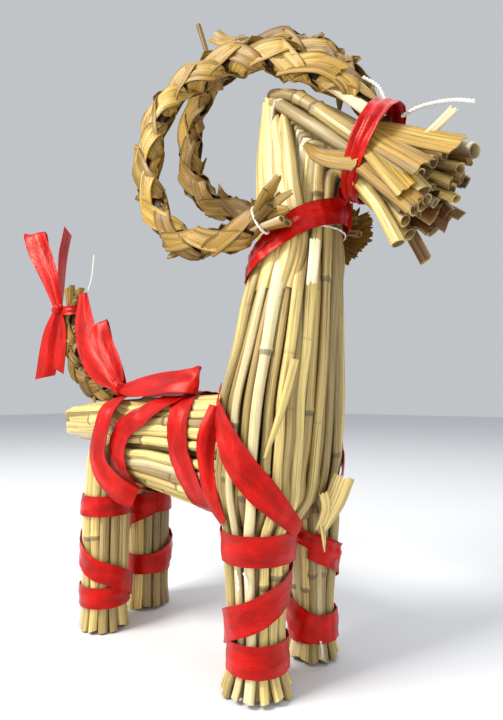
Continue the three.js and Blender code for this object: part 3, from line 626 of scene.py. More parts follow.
# %% Legs, neck and head
R = 2.5  # Radius of a common stalk.
COUNT = 36
LEG_SPREAD = 250  # Degrees of a leg's ring that the long stalks cover. Short ones close the rest.
INNER_LEG = 0.48  # How deep the inner layer lies in a leg, as a share of the leg's half width.
INNER_SINK = (1.9, 2.4, 1.7, 1.8, 2.0, 2.8, 3.9)  # The same in the neck, from the chest up.
FLATTENED = [(0, 1), (0.42, 1), (0.6, 1.35), (0.72, 1.35), (0.84, 1.0), (1, 1)]  # Wider where it folds over.
neck_angles = [even_angles(ring, COUNT) for ring in neck_rings]
mitre_angles = even_angles(mitre, COUNT)
head_angles = [even_angles(ring, COUNT) for ring in head_rings]
snout_angles = even_angles(snout_end, COUNT)
front = []
for k in range(COUNT):
    outer = k % 2 == 0
    leg = "left_front" if neck_angles[2][k] < 180 else "right_front"
    half = k if leg == "left_front" else k - COUNT // 2
    leg_angle = leg_outward[leg] + (half + 0.5) / (COUNT / 2) * LEG_SPREAD - LEG_SPREAD / 2
    reach, drift = random.uniform(-0.5, 1.2), random.uniform(-1.8, 1.8)
    path = [ring_point(ring, leg_angle, -R if outer else -ring["a"] * INNER_LEG) for ring in leg_rings[leg]]
    path[0] = path[0] + Z * reach
    for ring, angles, sink in zip(neck_rings[1:], neck_angles[1:], INNER_SINK):
        sunk = 0 if outer else sink
        if ring is neck_rings[-1]:
            sunk += 2.2 * abs(math.sin(math.radians(angles[k])))
        path.append(ring_point(ring, angles[k] + drift + random.uniform(-0.5, 0.5),
                               -R - sunk + random.uniform(-0.9, 0.3)))
    beside = abs(math.sin(math.radians(mitre_angles[k])))
    fold = ring_point(mitre, mitre_angles[k], -2.0 - 7.0 * beside if outer else -9)
    into = unit(fold - path[-1])
    head = [ring_point(ring, angles[k], -2.1 - sink * beside if outer else -6.8)
            for ring, angles, sink in zip(head_rings, head_angles, (6.0, 3.5))]
    away = unit(head[0] - fold)
    path += [fold - into * 6, fold - into * 2 + away * 0.6, fold + away * 3.5, *head]
    tip = ring_point(snout_end, snout_angles[k], -2.5 if outer else -random.uniform(7, 14))
    path.append(tip + unit(tip - head[-1]) * random.uniform(-5, 5))
    foot_ring = leg_rings[leg][0]
    outward = ring_point(foot_ring, leg_angle, 1) - ring_point(foot_ring, leg_angle, 0)
    # Stalks of the inner layer are painted darker: painted shade deep in the bundle.
    front.append(stalk(path, R * random.choice((0.82, 0.95, 1.04, 1.1, 1.2)), "long_stalk", out=outward,
                       soil=0.0 if outer else 0.42, widen=FLATTENED if outer else None))

# %% Short stalks that close the inner sides of the legs and fill the middles
for leg in ("right_front", "left_front"):
    middle, rings = leg_outward[leg], leg_rings[leg]
    # Short stalks on the inner side of a leg are a little darker: painted shade between the legs.
    for k in range(6):
        path = [ring_point(ring, middle + 180 + (k - 2.5) * 21, -R) for ring in rings]
        path[0] = path[0] + Z * random.uniform(-0.5, 1.5)
        path.append(path[-1] + row(0, 0.1 * math.copysign(1, 180 - middle), 12))
        front.append(stalk(path, R * 0.95, out=path[0] - rings[0]["c"], soil=0.1))
    # Three stalks deep in the leg, painted darker: painted shade inside the bundle.
    for k in range(3):
        front.append(stalk([ring_point(ring, middle + 120 * k, -ring["a"] * 0.72) for ring in rings], R, soil=0.3))
# Stalks that fill the middle of the neck get a dark tone and painted shade.
for k in range(14):
    path = [ring_point(ring, 360 * k / 14, -min(ring["a"], ring["b"]) * 0.42) for ring in neck_rings]
    front.append(stalk(path, R * 1.05, soil=0.55, tone=0.3))
# Seven stalks deep in the head, a little darker with painted shade.
for k in range(7):
    start = ring_point(head_rings[0], 360 * k / 7, -9)
    tie = ring_point(head_rings[1], 360 * k / 7, -9.5)
    tip = ring_point(snout_end, 360 * k / 7, -random.uniform(12, 17))
    front.append(stalk([start, tie, tip + unit(tip - tie) * random.uniform(-6, 3)], 2.3, soil=0.1))
print("front stalks so far:", len(front))

# %% Wide stalks down each side of the head, at the throat and at the top of the neck
CHEEK = ((-4, -1.5, 254), (9.8, -7.5, 247.5), (19.6, -10.5, 239.5), (30, -12.5, 229.3), (39.2, -13.5, 220.4),
         (50, -13.5, 210), (60, -15, 200), (69, -15.5, 188))
JAW = ((-1, -4, 249), (5.5, -6.5, 244), (19.1, -12, 231.4), (30.7, -13.2, 220.9), (42.3, -12.0, 210.2),
       (55, -14.5, 196), (63, -15.5, 183))
THROAT = ((33, -8.5, 209), (40, -9.5, 203), (46, -11, 195.5), (51, -13, 188.7), (55.1, -14, 181),
          (59.5, -15, 171.5))
NECK_TOP = (((-6.5, -1.5, 250), 242, 0.55), ((-4.5, -2, 252), 265, 0.7), ((-2, -3, 250), 288, 0.62),
            ((8, -8, 236), 302, 0.75))
# Cheek and jaw stalks, and a little the neck-top ones, are painted darker: painted shade on the side of the head.
for side, cheek_tone in ((-1, 0.62), (1, 0.5)):
    near = lambda *points: [(x, -side * y, z) for x, y, z in points]
    front.append(stalk(near(*CHEEK), 3.5, joints=[23, 37], tone=cheek_tone, pale=0.0, soil=0.26,
                       out=(0, side, 0.8), wander=0.2, squash=0.85))
    front.append(stalk(near(*JAW), 3.0, joints=[], tone=0.3, pale=0.2, soil=0.22, out=(0, side, 0.5), wander=0.2))
    front.append(stalk(near(*THROAT), 2.7, joints=[], tone=0.72, pale=0.0, out=(0, side, 0.3), wander=0.2))
    for top, angle, tone in NECK_TOP:
        low = bundle_point(neck_rings, 180, angle, -2.7)
        middle = np.array(top) * 0.5 + low * 0.5 - Y * 1.6
        path = near(top, middle, low, bundle_point(neck_rings, 160, angle, -4.5))
        front.append(stalk(path, 3.1, joints=[], tone=tone, pale=0.0, soil=0.08, out=(0, side, 0.2), wander=0.3,
                           widen=[(0, 0.7), (0.3, 1.3), (0.8, 1.3), (1, 1)]))
joined(front, "front_stalks", STRAW, "straw", "neck_straw", "head_straw",
       "right_front_leg_straw", "left_front_leg_straw")

# %% [markdown]
# ## Hind legs and trunk
# Each hind leg is a small bundle of its own that stands up into the rump. The trunk is one lying bundle: its upper
# stalks spread over the rump, and the lower ones stop short in front of the hind legs or under the belly. A closed
# tube with a striped bump would have the colour but not the open ends at the rump. So real stalks lie round
# the rings, and a second layer, painted darker as painted shade, and a few straight ones inside stop light from
# passing through.

# %% Hind legs
hind = []
for leg in ("right_hind", "left_hind"):
    rings = leg_rings[leg]
    for k in range(13):
        angle = (k + 0.5) * 360 / 13
        path = [ring_point(ring, angle, -R) for ring in rings]
        path[0] = path[0] + Z * random.uniform(-0.5, 1.2)
        path.append(path[-1] * row(1, 0.6, 1) + Z * 11)
        hind.append(stalk(path, R * random.uniform(0.94, 1.05), out=path[0] - rings[0]["c"]))
    # Six stalks deep in the leg, painted darker: painted shade inside the bundle.
    for k in range(6):
        path = [ring_point(ring, k * 60, -ring["a"] * 0.55) for ring in rings]
        hind.append(stalk(path, R, soil=0.25))
joined(hind, "hind_leg_stalks", STRAW, "straw", "right_hind_leg_straw", "left_hind_leg_straw")

# %% Trunk
ROUND = 0.8  # The trunk's oval is a little square, because the bundle lies flat on the legs.
UPPER = 20
RUMP_END = -86
body = []
for k in range(UPPER):
    share = (k + 0.5) / UPPER
    rump_angle, back_angle = -38 + 256 * share, -22 + 224 * share
    path = [ring_point(ring, rump_angle if ring["s"] < RUMP_END else back_angle, -R, ROUND) for ring in trunk_rings]
    path[0] = path[0] - X * random.uniform(0, 9)
    out = ring_point(trunk_rings[1], rump_angle, 1) - trunk_rings[1]["c"]
    body.append(stalk(path, R * random.uniform(0.9, 1.15), out=out, joints=[random.uniform(20, 100)]))
# Stalks under the belly, a little darker with painted shade.
for k in range(6):
    path = [ring_point(ring, 222 + 16 * (k + 0.5), -R, ROUND) for ring in trunk_rings[:3]]
    path[0] = path[0] - X * random.uniform(0, 8)
    path.append(row(-60, path[-1][1], 100))
    body.append(stalk(path, R, out=(0, 0, -1), soil=0.1))
# Lower stalks, a very little painted shade underneath.
for k in range(14):
    angle = 200 + 140 * (k + 0.5) / 14
    path = [ring_point(ring, angle, -R, ROUND) for ring in trunk_rings[3:]]
    path[0] = path[0] - X * random.uniform(0, 2)
    body.append(stalk(path, R * random.uniform(0.95, 1.05), out=path[1] - trunk_rings[5]["c"], soil=0.05))
# The inner layer: painted shade deep in the bundle.
for k in range(16):
    angle = 360 * k / 16
    lower = 200 < angle < 340
    path = [ring_point(ring, angle, -7.2, ROUND) for ring in trunk_rings[3 if lower else 0:]]
    path[0] = path[0] - X * random.uniform(-4, 3)
    body.append(stalk(path, R, soil=0.45))
# Straight stalks in the middle, painted darker: painted shade.
for k in range(5):
    beside = -10 + 5 * k
    path = [row(-124 - random.uniform(0, 5), beside, 102.5), row(-60, beside, 98), row(-10, 0.8 * beside, 94)]
    body.append(stalk(path, R, soil=0.3))
joined(body, "trunk_stalks", STRAW, "straw", "trunk_straw")

# %% [markdown]
# ## Leaves
# A leaf is the flat sheath that grows round a stalk. Dry, it is cupped and pleated, with a torn end. A single sheet
# of faces would do from afar, but its cut edge could not catch the light. So a leaf is a short strip with one
# ragged or pointed end, and the Solidify modifier gives it a little thickness.

# %% The leaf maker
def rows_of(points, faces):
    """Rows for a strip: points of x, y, z and width share, with face directions blended along them."""
    faces = np.array([unit(f) for f in faces])
    marks = np.linspace(0, len(faces) - 1, len(points))
    blended = pick(faces, np.arange(len(faces)), marks)
    return [(*point[:3], *face, point[3] if len(point) > 3 else 1) for point, face in zip(points, blended)]


def leaf(points, width, faces, tone=0.5, pale=0.0, cup=0.12, ragged=1.5, point=0.0, pleats=0.25, soil=0.0,
         thickness=0.35):
    """A flat straw leaf through points. point narrows its end, ragged tears it."""
    path = smooth(rows_of(points, faces))
    total, marks = marks_of(path)
    base = BASE["leaf"]
    phase = random.uniform(0, 6)
    tears = {round(x, 3): random.uniform(-1, 1) for x in np.unique(base[:, 0].round(3))}
    tears_near = {x: random.uniform(-1, 1) for x in tears}

    def section(x, y, distance, length):
        share = distance / length
        narrow = (1 - point * np.clip((share - 0.45) / 0.55, 0, 1) ** 1.3) * np.interp(distance, marks, path[:, 6])
        fold = pleats * (np.abs((x * 2.1 + phase) % 1 - 0.5) * 2 - 0.5) + 0.1 * np.sin(9 * share + phase)
        return x * narrow, fold + cup * width * (0.5 - 2 * x * x)

    corners, distance = bend("leaf", path, width, half_thickness=1.0, faces=path[:, 3:6], profile=section)
    tangent = tangents(path)
    tear, tear_near = (np.array([depths[round(x, 3)] for x in base[:, 0]]) for depths in (tears, tears_near))
    corners += tangent[-1] * (ragged * tear * np.clip(base[:, 2] * 5 - 4, 0, 1))[:, None]
    corners += tangent[0] * (0.5 * ragged * tear_near * np.clip(1 - base[:, 2] * 5, 0, 1))[:, None]
    obj = copy_of("leaf", corners)
    offset = np.array([random.uniform(0, 400) for _ in range(3)])
    grain = np.stack([base[:, 0] * width, 0 * distance, distance], axis=1) + offset
    dark_edge = np.where(np.abs(base[:, 0]) > 0.49, max(soil, 0.65), soil)
    look = np.stack(np.broadcast_arrays(tone, pale, dark_edge, 0.0), axis=1)
    tag(obj, grain=grain, look=look, node_mm=np.full(len(base), FAR))
    return thicken(obj, thickness)

# %% [markdown]
# ## Plaits
# Horns and tail are plaited from flat leaf that folds over at each edge and comes back on the other face. Three
# round strands swept in a braid would look like rope. What shows on the real goat is broad folded leaf lying
# slantwise over its neighbour. So folded leaves cross from edge to edge in turn, on both faces, over a plain core
# that is painted dark: painted shade where it shows between the leaves. Torn points stand out along the edges,
# and cut ends make a fan where the plait is tied off.

# %% Folded leaves along a plait
SLANT = 5.6  # How far a leaf runs on, in half widths of the plait, while it crosses from edge to edge.
TUCK = (-0.12, -0.03, 0.1, 0.35, 0.6, 0.88, 1.0, 1.08)  # Shares of the crossing. The ends tuck under.


def plait(points, face, root_face, half, depth, spacing, leaf_width, root_scale, end_scale, tone=(0.3, 0.8)):
    """Folded leaves cross the plait from edge to edge in turn, on both faces, over a plain core."""
    path = smooth(points)
    total, marks = marks_of(path)
    share = marks / total
    tangent = tangents(path)
    ease = np.clip(share / 0.2, 0, 1)
    ease = (ease * ease * (3 - 2 * ease))[:, None]
    turned = np.array(root_face, float) * (1 - ease) + np.array(face, float) * ease
    normal = normalised(turned - tangent * np.sum(turned * tangent, axis=1, keepdims=True))
    rise, fall = np.clip(share / 0.15, 0, 1), np.clip((share - 0.6) / 0.4, 0, 1)
    scale = (root_scale + (1 - root_scale) * rise) * (1 + (end_scale - 1) * fall)
    lie = np.hstack([path[:, :3], tangent, np.cross(tangent, normal), normal, scale[:, None]])
    walk = walked(path[:, :3])

    def lie_at(distance):
        """Where the plait lies: its place, the directions ahead, across and up, and its scale."""
        values = pick(lie, walk, distance)
        return *values[:12].reshape(4, 3), values[12]

    corners, _ = bend("strand", path, lambda d: half * 0.86 * np.interp(d, marks, scale),
                      half_thickness=depth * 0.8, faces=normal)
    # The core is painted dark brown: painted shade where it shows between the leaves.
    core = copy_of("strand", corners)
    count = len(corners)
    tag(core, grain=BASE["strand"] * (half, depth, total), look=np.tile((0.1, 0, 0.9, 0), (count, 1)),
        node_mm=np.full(count, FAR))
    pieces, edges = [core], []
    for side, late in ((1, 0), (-1, spacing / 2)):
        for k in range(round((total - 18) / spacing)):
            begin = k * spacing + random.uniform(-1, 1) + late
            run = half * SLANT * random.uniform(0.85, 1.15)
            way = 1 if k % 2 else -1
            points, faces = [], []
            for q in TUCK:
                place, _, across, up, size = lie_at(min(total - 1, max(1, begin + run * q)))
                x = float(np.clip(2 * q - 1, -1, 1)) * way
                bulge = math.sqrt(max(0.0, 1 - x * x))
                if 0 <= q <= 1:
                    lift, fold, wide, lean = 1.5 - 1.3 * q, 1.0, 1 - 0.1 * abs(x), math.radians(62) * x ** 3
                else:
                    lift, fold, wide, lean = -0.9, 0.86, 0.5, math.radians(100) * x
                point = place + across * (x * half * size * fold) + up * side * ((depth * bulge + lift) * size)
                points.append((*point, wide))
                faces.append(up * side * math.cos(lean) + across * math.sin(lean))
            width = leaf_width * random.uniform(0.85, 1.12) * lie_at(begin + 10)[4]
            pieces.append(leaf(points, width, faces, tone=random.uniform(*tone), cup=0.03, ragged=0.4, pleats=0.55,
                               thickness=0.5, soil=random.choice((0, 0, 0.12))))
            place, ahead, across, up, size = lie_at(max(1, begin))
            edges.append((place - across * (way * half * size), across * -way, ahead, up * side, begin / total))
    return pieces, edges

# %% Torn points, fans and tufts
def torn_points(edges, chance, length, tone=(0.3, 0.7)):
    """Torn leaf tips that stand out where strands turn back at the edge."""
    tips = []
    for place, side, ahead, up, share in edges:
        if random.random() > chance or share < 0.05 or share > 0.95:
            continue
        run = length * random.uniform(0.6, 1.3)
        start = place + ahead * run * 0.2 - side * 2 + up * 1.2
        way = unit(-ahead * 0.75 + side * random.uniform(0.5, 0.9) + up * random.uniform(0, 0.4))
        tips.append(leaf([start, start + way * run * 0.5 + up * 0.3, start + way * run], random.uniform(3, 6),
                         [up, up + side * 0.6], tone=random.uniform(*tone), point=random.uniform(0.5, 0.95),
                         ragged=0.8, cup=0.05))
    return tips


def fan(root, direction, side, count, reach, radius=1.9, spread=(0.42, 0.28)):
    """Cut stalk ends that stick out of a tie as a small fan."""
    direction, side = unit(direction), unit(side)
    other = np.cross(direction, side)
    ends = []
    for k in range(count):
        c, s = (turn(2 * math.pi * k / count + 0.4) for turn in (math.cos, math.sin))
        way = unit(direction + side * spread[0] * c + other * spread[1] * s)
        start = root - direction * 6 + side * 1.3 * c + other * 0.9 * s
        ends.append(stalk([start, start + way * 6, start + way * (6 + reach * random.uniform(0.75, 1.2))],
                          radius * random.uniform(0.75, 1.15), "short_stalk", joints=[],
                          tone=random.uniform(0.2, 0.6), wander=0.0, squash=random.uniform(0.6, 1)))
    return ends


def tuft(root, middle, tips, width, **options):
    """Leaves that spread from one place to each of the tips. Each tip has its own faces."""
    leaves = []
    for tip, faces in tips:
        halfway = ((root[0] + tip[0]) / 2, middle[0], (middle[1] + tip[2]) / 2)
        leaves.append(leaf([root, halfway, tip], width, faces, **options))
    return leaves

# %% Right horn
HORN = dict(half=5.6, depth=3.3, spacing=12.5, leaf_width=9.6, root_scale=0.7, end_scale=0.8)
right_points = [(48, -5.5, 226.6), (38.5, -7.5, 239.5), (22, -10, 253), (1, -12, 266), (-20, -13, 271.5),
                (-41, -15, 269.5), (-57, -18, 260), (-62.5, -22, 240), (-62, -24, 222), (-54, -25, 203.5),
                (-38, -26, 187.5), (-15, -26.5, 182.5), (5, -26.2, 187), (11, -26.4, 189)]
pieces, edges = plait(right_points, (0, -1, 0), (0.3, -0.3, 0.9), **HORN)
right_stray = stalk([(-32, -13, 276), (-35, -13.2, 285), (-39, -13.5, 297)], 1.3, "short_stalk", joints=[],
                    tone=0.3)
right = [*pieces, right_stray, *torn_points(edges, 0.06, 8)]
right += fan(row(8, -26.3, 188), (0.9, -0.05, 0.42), (0.42, 0, -0.9), 7, 9, radius=2.3, spread=(0.5, 0.3))
right += tuft((6, -26.5, 187), (-28, 189),
              (((16.5, -27, 203), [(0.6, -0.8, 0)]), ((23, -27.5, 195), [(0.1, -1, 0.3)]),
               ((22, -29, 188), [(0, -1, -0.2)])), 6, tone=0.45, point=0.6, ragged=0.8, cup=0.25)
joined(right, "right_horn_plait", PLAIT, "plaited_straw", "right_horn", angle=38)

# %% Left horn
left_points = [(48, 5.5, 226.6), (40, 7, 238.5), (31, 6.5, 254), (9, 5, 275), (-14, 5, 286), (-34, 6, 287),
               (-54, 8, 279.5), (-65.5, 11, 266), (-69, 13, 245), (-63, 15, 228), (-45, 18, 215.5),
               (-20, 22, 206), (8, 25.6, 197), (20, 26.8, 192.5)]
pieces, edges = plait(left_points, (0, 1, 0), (0.3, 0.3, 0.9), tone=(0.2, 0.55), **HORN)
left = pieces + torn_points(edges, 0.30, 10, tone=(0.2, 0.5))
left.append(leaf([(-24, 5, 287, 0.5), (-31, 5, 296.5, 0.9), (-37, 5, 298.5, 1), (-45, 5, 305, 1)], 7,
                 [(0.3, -0.8, 0.5), (0.1, -0.8, 0.6), (-0.4, -0.8, 0.4)], tone=0.6, ragged=2.0, cup=0.25))
left += fan(row(17, 26.6, 193.5), (0.96, 0.05, -0.25), (0.25, 0, 0.96), 5, 10)
left += tuft((14, 26.5, 193), (27, 193),
             [(tip, [(0, -1, 0.2), (0.1, -1, 0)]) for tip in
              ((23, 27, 205), (31, 27, 198), (32, 26, 190), (27, 26, 184), (21, 27, 180))],
             9, tone=0.3, point=0.25, ragged=1.3, soil=0.1)
joined(left, "left_horn_plait", PLAIT, "plaited_straw", "left_horn", angle=38)

# %% Tail
TAIL = dict(half=4.2, depth=2.5, spacing=8.0, leaf_width=6.4, root_scale=0.8, end_scale=0.9)
tail_points = [(-104, 0, 119), (-118, 0, 118.6), (-132, 0, 121.5), (-144.5, 0, 129.5), (-152, 0, 142),
               (-155.3, 0, 156), (-155, 0, 168), (-153, 0, 178)]
pieces, edges = plait(tail_points, (0, -1, 0), (0, -1, 0), tone=(0.15, 0.55), **TAIL)
tail = pieces + torn_points(edges, 0.05, 6)
tail += fan(row(-154, 0, 176), (0.08, 0, 1), (1, 0, 0), 4, 9, radius=2.1, spread=(0.30, 0.2))
joined(tail, "tail_plait_leaves", PLAIT, "plaited_straw", "tail_plait", angle=38)

# %% [markdown]
# ## Loose leaves and splinters
# Nobody trims a straw goat closely. Broad leaves lie over the snout, a pale one runs down the brow, and a
# broken stalk's sheath hangs on the chest. A particle system could scatter such leaves, but it would put them
# where the real ones are not. There are few of them, so each is laid where it belongs, with its own turn and tear.

# %% Head leaves, chest leaf, stray stems
trim = [
    leaf([(47, -8.5, 221), (80.5, -13, 202.5)], 11, [(0.35, -0.8, 0.6), (0.4, -0.85, 0.45)], tone=0.66,
         ragged=0.7, cup=0.04),
    leaf([(47, 6, 221.5), (80, 10.8, 208)], 11, [(0.3, 0.45, 1), (0.45, 0.6, 0.9)], tone=0.45,
         ragged=0.9, cup=0.04),
    leaf([(47, -12, 217), (71, -19.5, 195)], 10, [(0.3, -0.8, 0.6), (0.3, -0.9, 0.5)], tone=0.55,
         ragged=0.8, cup=0.3),
    leaf([(21, -14.5, 219.5, 0.25), (28, -16.4, 212.5, 0.75), (35, -17, 208.5, 1), (45, -17, 205, 1)], 8.5,
         [(-0.3, -0.8, 0.5), (0.2, -0.9, 0.4), (0.2, -1, 0.2)], tone=0.45, cup=0.03, pleats=0.9, ragged=0.5),
    leaf([(48, -17.2, 203), (67.5, -20.2, 182.5)], 8.5,
         [(0.3, -0.9, 0.3), (0.3, -0.9, 0.1)], tone=0.42, cup=0.05, ragged=1.2),
    leaf([(24, -7.6, 249.3), (35.5, -8.8, 238.6), (42.9, -9.8, 231), (50, -10, 223.5)], 9.5,
         [(0.45, -0.5, 0.8), (0.5, -0.6, 0.7)], tone=0.9, pale=0.95, cup=0.35, ragged=2.0),
    leaf([(8.6, -13.2, 257.4), (19.1, -14, 254.4), (29.5, -13.6, 250.6), (36.5, -11.6, 245.2)], 10.5,
         [(0, -0.95, 0.5), (0.2, -0.9, 0.5)], tone=0.6, cup=0.06, ragged=1.6),
    leaf([(46, -14, 215), (64.8, -20.4, 188.2)], 8.5,
         [(0.3, -0.8, 0.5), (0.2, -0.9, 0.3)], tone=0.75, ragged=0.6, cup=0.15),
    leaf([(67, -8.5, 210.5), (73, -8.5, 214.4), (78.3, -8, 218.7)], 3.2, [(0.6, -0.8, -0.2), (0.5, -0.8, 0)],
         tone=1.0, pale=0.8, ragged=1.0, cup=0.1),
]
joined(trim, "snout_leaves", PLAIT, "plaited_straw", angle=40)
loose = [
    leaf([(27.2, -17.6, 178), (27.2, -18.9, 169), (27, -20.3, 160)], 4.2, [(0.5, -0.85, 0)],
         tone=0.9, pale=0.95, ragged=1.5, cup=0.35),
    leaf([(22.4, -25.2, 131), (18.3, -27.8, 113.2), (12.6, -31.2, 94)], 3.2, [(0.4, -0.9, 0)],
         tone=0.5, point=0.7, ragged=0.5, cup=0.3),
    leaf([(19.5, -2.5, 62, 0.55), (24, 1, 73, 1), (28, 3, 84, 1)], 9, [(0.8, -0.6, 0), (0.7, -0.7, 0.1)], tone=0.7,
         ragged=1.1, cup=0.2),
    leaf([(19.5, -3, 63), (24, -5, 72), (24, -7, 79)], 4, [(0.8, -0.5, 0), (0.5, -0.8, 0.2)], tone=0.6, ragged=1.5),
    leaf([(20.5, -3, 66), (22, -4, 62), (23, -5, 56)], 2.2, [(0.9, -0.4, 0), (0.8, -0.5, 0)], tone=0.6, point=0.8),
]
joined(loose, "chest_leaf", STRAW, "straw", "broken_stalk", angle=40)

# %% [markdown]
# ## Ribbons
# Red satin ribbon, about 12 mm wide, winds twice round each leg and once round trunk and throat, and crosses the
# breast and the rump. Shrinkwrapping a strip onto the stalks would press it into every gap, where real ribbon
# is pulled tight. So a ribbon is a strip that follows a row of places, each with the way its face turns and
# its width. On a bundle it is laid on the ring of stalks and sinks only a little between them.

# %% A ribbon strip
RIBBON_THICKNESS = 0.34


def ribbon(rows, width, shape="ribbon", cup=0.0, folds=(), end_cut=None, closed=False):
    """A satin strip through rows of x, y, z, face x, y, z and width share. end_cut slants or notches its end."""
    rows = np.array(rows, float)
    if rows.shape[1] == 6:
        rows = np.hstack([rows, np.ones((len(rows), 1))])
    path = smooth(rows)
    if closed:
        path[-1] = path[0]
    total, marks = marks_of(path)
    seeds = [random.uniform(0, 6) for _ in range(3)]

    def section(x, y, distance, length):
        bow = cup * width * (0.25 - x * x)
        for size, across, phase in folds:
            bow = bow + size * np.cos(2 * math.pi * across * x + phase + 0.35 * np.sin(distance / 11 + seeds[0]))
        return x, bow + 0.12 * np.sin(distance / 6 + 4 * x + seeds[1])

    corners, distance = bend(shape, path, lambda d: width * np.interp(d, marks, path[:, 6]), half_thickness=1.0,
                             faces=path[:, 3:6], profile=section)
    base = BASE[shape]
    if end_cut is not None:
        near = np.clip(1 - np.abs(base[:, 2] - 1) * 14, 0, 1)
        if end_cut == "zigzag":
            shift = 1.4 * np.cos(base[:, 0] * 2 * math.pi * 5) * (near > 0.99)
        else:
            shift = end_cut * base[:, 0] * near
        corners += tangents(path)[-1] * shift[:, None]
    obj = copy_of(shape, corners)
    tag(obj, edge=np.abs(base[:, 0]) * 2)
    for spare in list(obj.data.uv_layers):
        obj.data.uv_layers.remove(spare)
    layer = obj.data.uv_layers.new(name="ribbon")
    loop_corner = np.array([loop.vertex_index for loop in obj.data.loops])
    layer.data.foreach_set("uv", np.stack([distance, base[:, 0] * width], axis=1)[loop_corner].ravel())
    return thicken(obj, RIBBON_THICKNESS)


def satin(pieces, name, *nodes):
    """Joins strips into one finished ribbon, in place of the node that it is named after or of the nodes given."""
    return joined(pieces, name + "_satin", SATIN, "red_satin", *(nodes or (name,)), angle=50)

# %% Laying a ribbon on a bundle
LIFT = 0.55  # Height of a ribbon's middle layer over the stalks.
OVER = 1.5   # The same where it crosses itself.
LAID_STEP = 6


def bundle_normal(rings, s, degrees, roundness=1.0):
    """The way out of a bundle at a place on it."""
    rise = bundle_point(rings, s + 1, degrees, 0, roundness) - bundle_point(rings, s - 1, degrees, 0, roundness)
    turn = bundle_point(rings, s, degrees + 3, 0, roundness) - bundle_point(rings, s, degrees - 3, 0, roundness)
    out = unit(np.cross(turn, rise))
    away = bundle_point(rings, s, degrees, 1, roundness) - bundle_point(rings, s, degrees, 0, roundness)
    return out if out @ away > 0 else -out


def laid(rings, route, roundness=1.0, stalks=14, lift=LIFT):
    """Rows of a ribbon laid on a bundle along a route of s, angle and lift. It dips between the stalks."""
    angles = np.array([stop[1] for stop in route], float)
    lifts = [stop[2] if len(stop) > 2 else lift for stop in route]
    way = 1 if angles[-1] > angles[0] else -1
    count = max(4, round(abs(angles[-1] - angles[0]) / LAID_STEP))
    rows = []
    for angle in np.linspace(angles[0], angles[-1], count + 1):
        s, rise = (np.interp(angle * way, angles * way, values) for values in ([stop[0] for stop in route], lifts))
        rise += 0.22 * math.cos(math.radians(angle * stalks))
        rows.append((*bundle_point(rings, s, angle, rise, roundness), *bundle_normal(rings, s, angle, roundness)))
    return rows


def leg_route(low, top, start, turn, width, last_turn):
    """Once round at the bottom, over itself and up, and once round at the top."""
    clear = 360 * (width + 1) / (top - low)
    route = [(low, 0), (low, 345), (low + 1, 365, OVER), (low + width * 1.1, 360 + clear, OVER),
             (low + width * 1.4, 400 + clear), (top, 720)]
    if last_turn:
        route += [(top, 1050 - clear), (top, 1075 - clear, OVER), (top, 1080, OVER)]
    return [(stop[0], start + turn * stop[1], *stop[2:]) for stop in route]

# %% Ribbons on the legs
for leg, low, top, start, turn, width, last_turn in (
        ("right_front", 16.5, 58, 142, 1, 12, True), ("left_front", 15.5, 52, 300, -1, 12, False),
        ("right_hind", 17.5, 62, 66, -1, 10, True), ("left_hind", 25, 58, -25, 1, 10.5, True)):
    rows = laid(leg_rings[leg], leg_route(low, top, start, turn, width, last_turn))
    satin([ribbon(rows, width, cup=0.02, folds=((0.14, 1.5, 1.0),))], leg + "_leg_ribbon")

# %% Ribbons on the trunk and the breast
def on_bundle(rings, route, width, name, stalks, roundness=1.0, lift=LIFT, closed=False, cup=0.02,
              folds=((0.16, 1.3, 0.5),), taper=1.0):
    """A finished ribbon laid on a bundle. It may narrow towards its end."""
    rows = laid(rings, route, roundness, stalks, lift)
    rows = [(*r, np.interp(i / (len(rows) - 1), (0, 0.7, 1), (1, 1, taper))) for i, r in enumerate(rows)]
    return satin([ribbon(rows, width, cup=cup, folds=folds, closed=closed)], name)


def girth(half):
    """A closed route round the trunk, from its right half."""
    return half + [(s, 540 - angle) for s, angle in half[-2::-1]]


rear_girth = girth([(-50, 90), (-52, 120), (-65, 150), (-75, 165), (-80, 182), (-80, 205), (-77, 235), (-76, 270)])
front_girth = girth([(-52, 90), (-47, 115), (-43, 137), (-41, 160), (-39, 178), (-35, 190), (-32, 205), (-31, 225),
                     (-32, 270)])
on_bundle(trunk_rings, rear_girth, 12, "rear_girth_ribbon", 28, ROUND, lift=1.7, closed=True)
on_bundle(trunk_rings, front_girth, 12, "front_girth_ribbon", 28, ROUND, closed=True)
breast_right = [(118, 222), (104, 256), (93, 277), (86, 291), (78, 308), (70, 325), (64, 337)]
breast_left = [(118, 138), (105, 106), (94, 66), (85, 44), (79, 30), (76, 12), (75, -4)]
for side, route, width in (("right", breast_right, 12), ("left", breast_left, 10)):
    on_bundle(neck_rings, route, width, side + "_breast_ribbon", 36, cup=0.05, taper=0.5)

rump = [(-96, -6, 116.6), (-90.5, -18, 115.2), (-88, -25.5, 110), (-88, -28.2, 103), (-90, -28.6, 95),
        (-91, -28.6, 88), (-87.5, -28.4, 80.5), (-81, -27.6, 75), (-75, -26, 71), (-70, -22, 68, 0.8)]
rump_faces = [(0, -0.3, 1), (0, -0.8, 0.6), (0, -1, 0.1), (0, -1, 0), (0.1, -1, 0), (0.3, -0.9, 0)]
for side, sign in (("right", 1), ("left", -1)):
    rows = rows_of([(x, sign * y, *rest) for x, y, *rest in rump], [(x, sign * y, z) for x, y, z in rump_faces])
    satin([ribbon(rows, 12, cup=0.04, folds=((0.3, 1.2, 0.6),))], side + "_rump_ribbon")

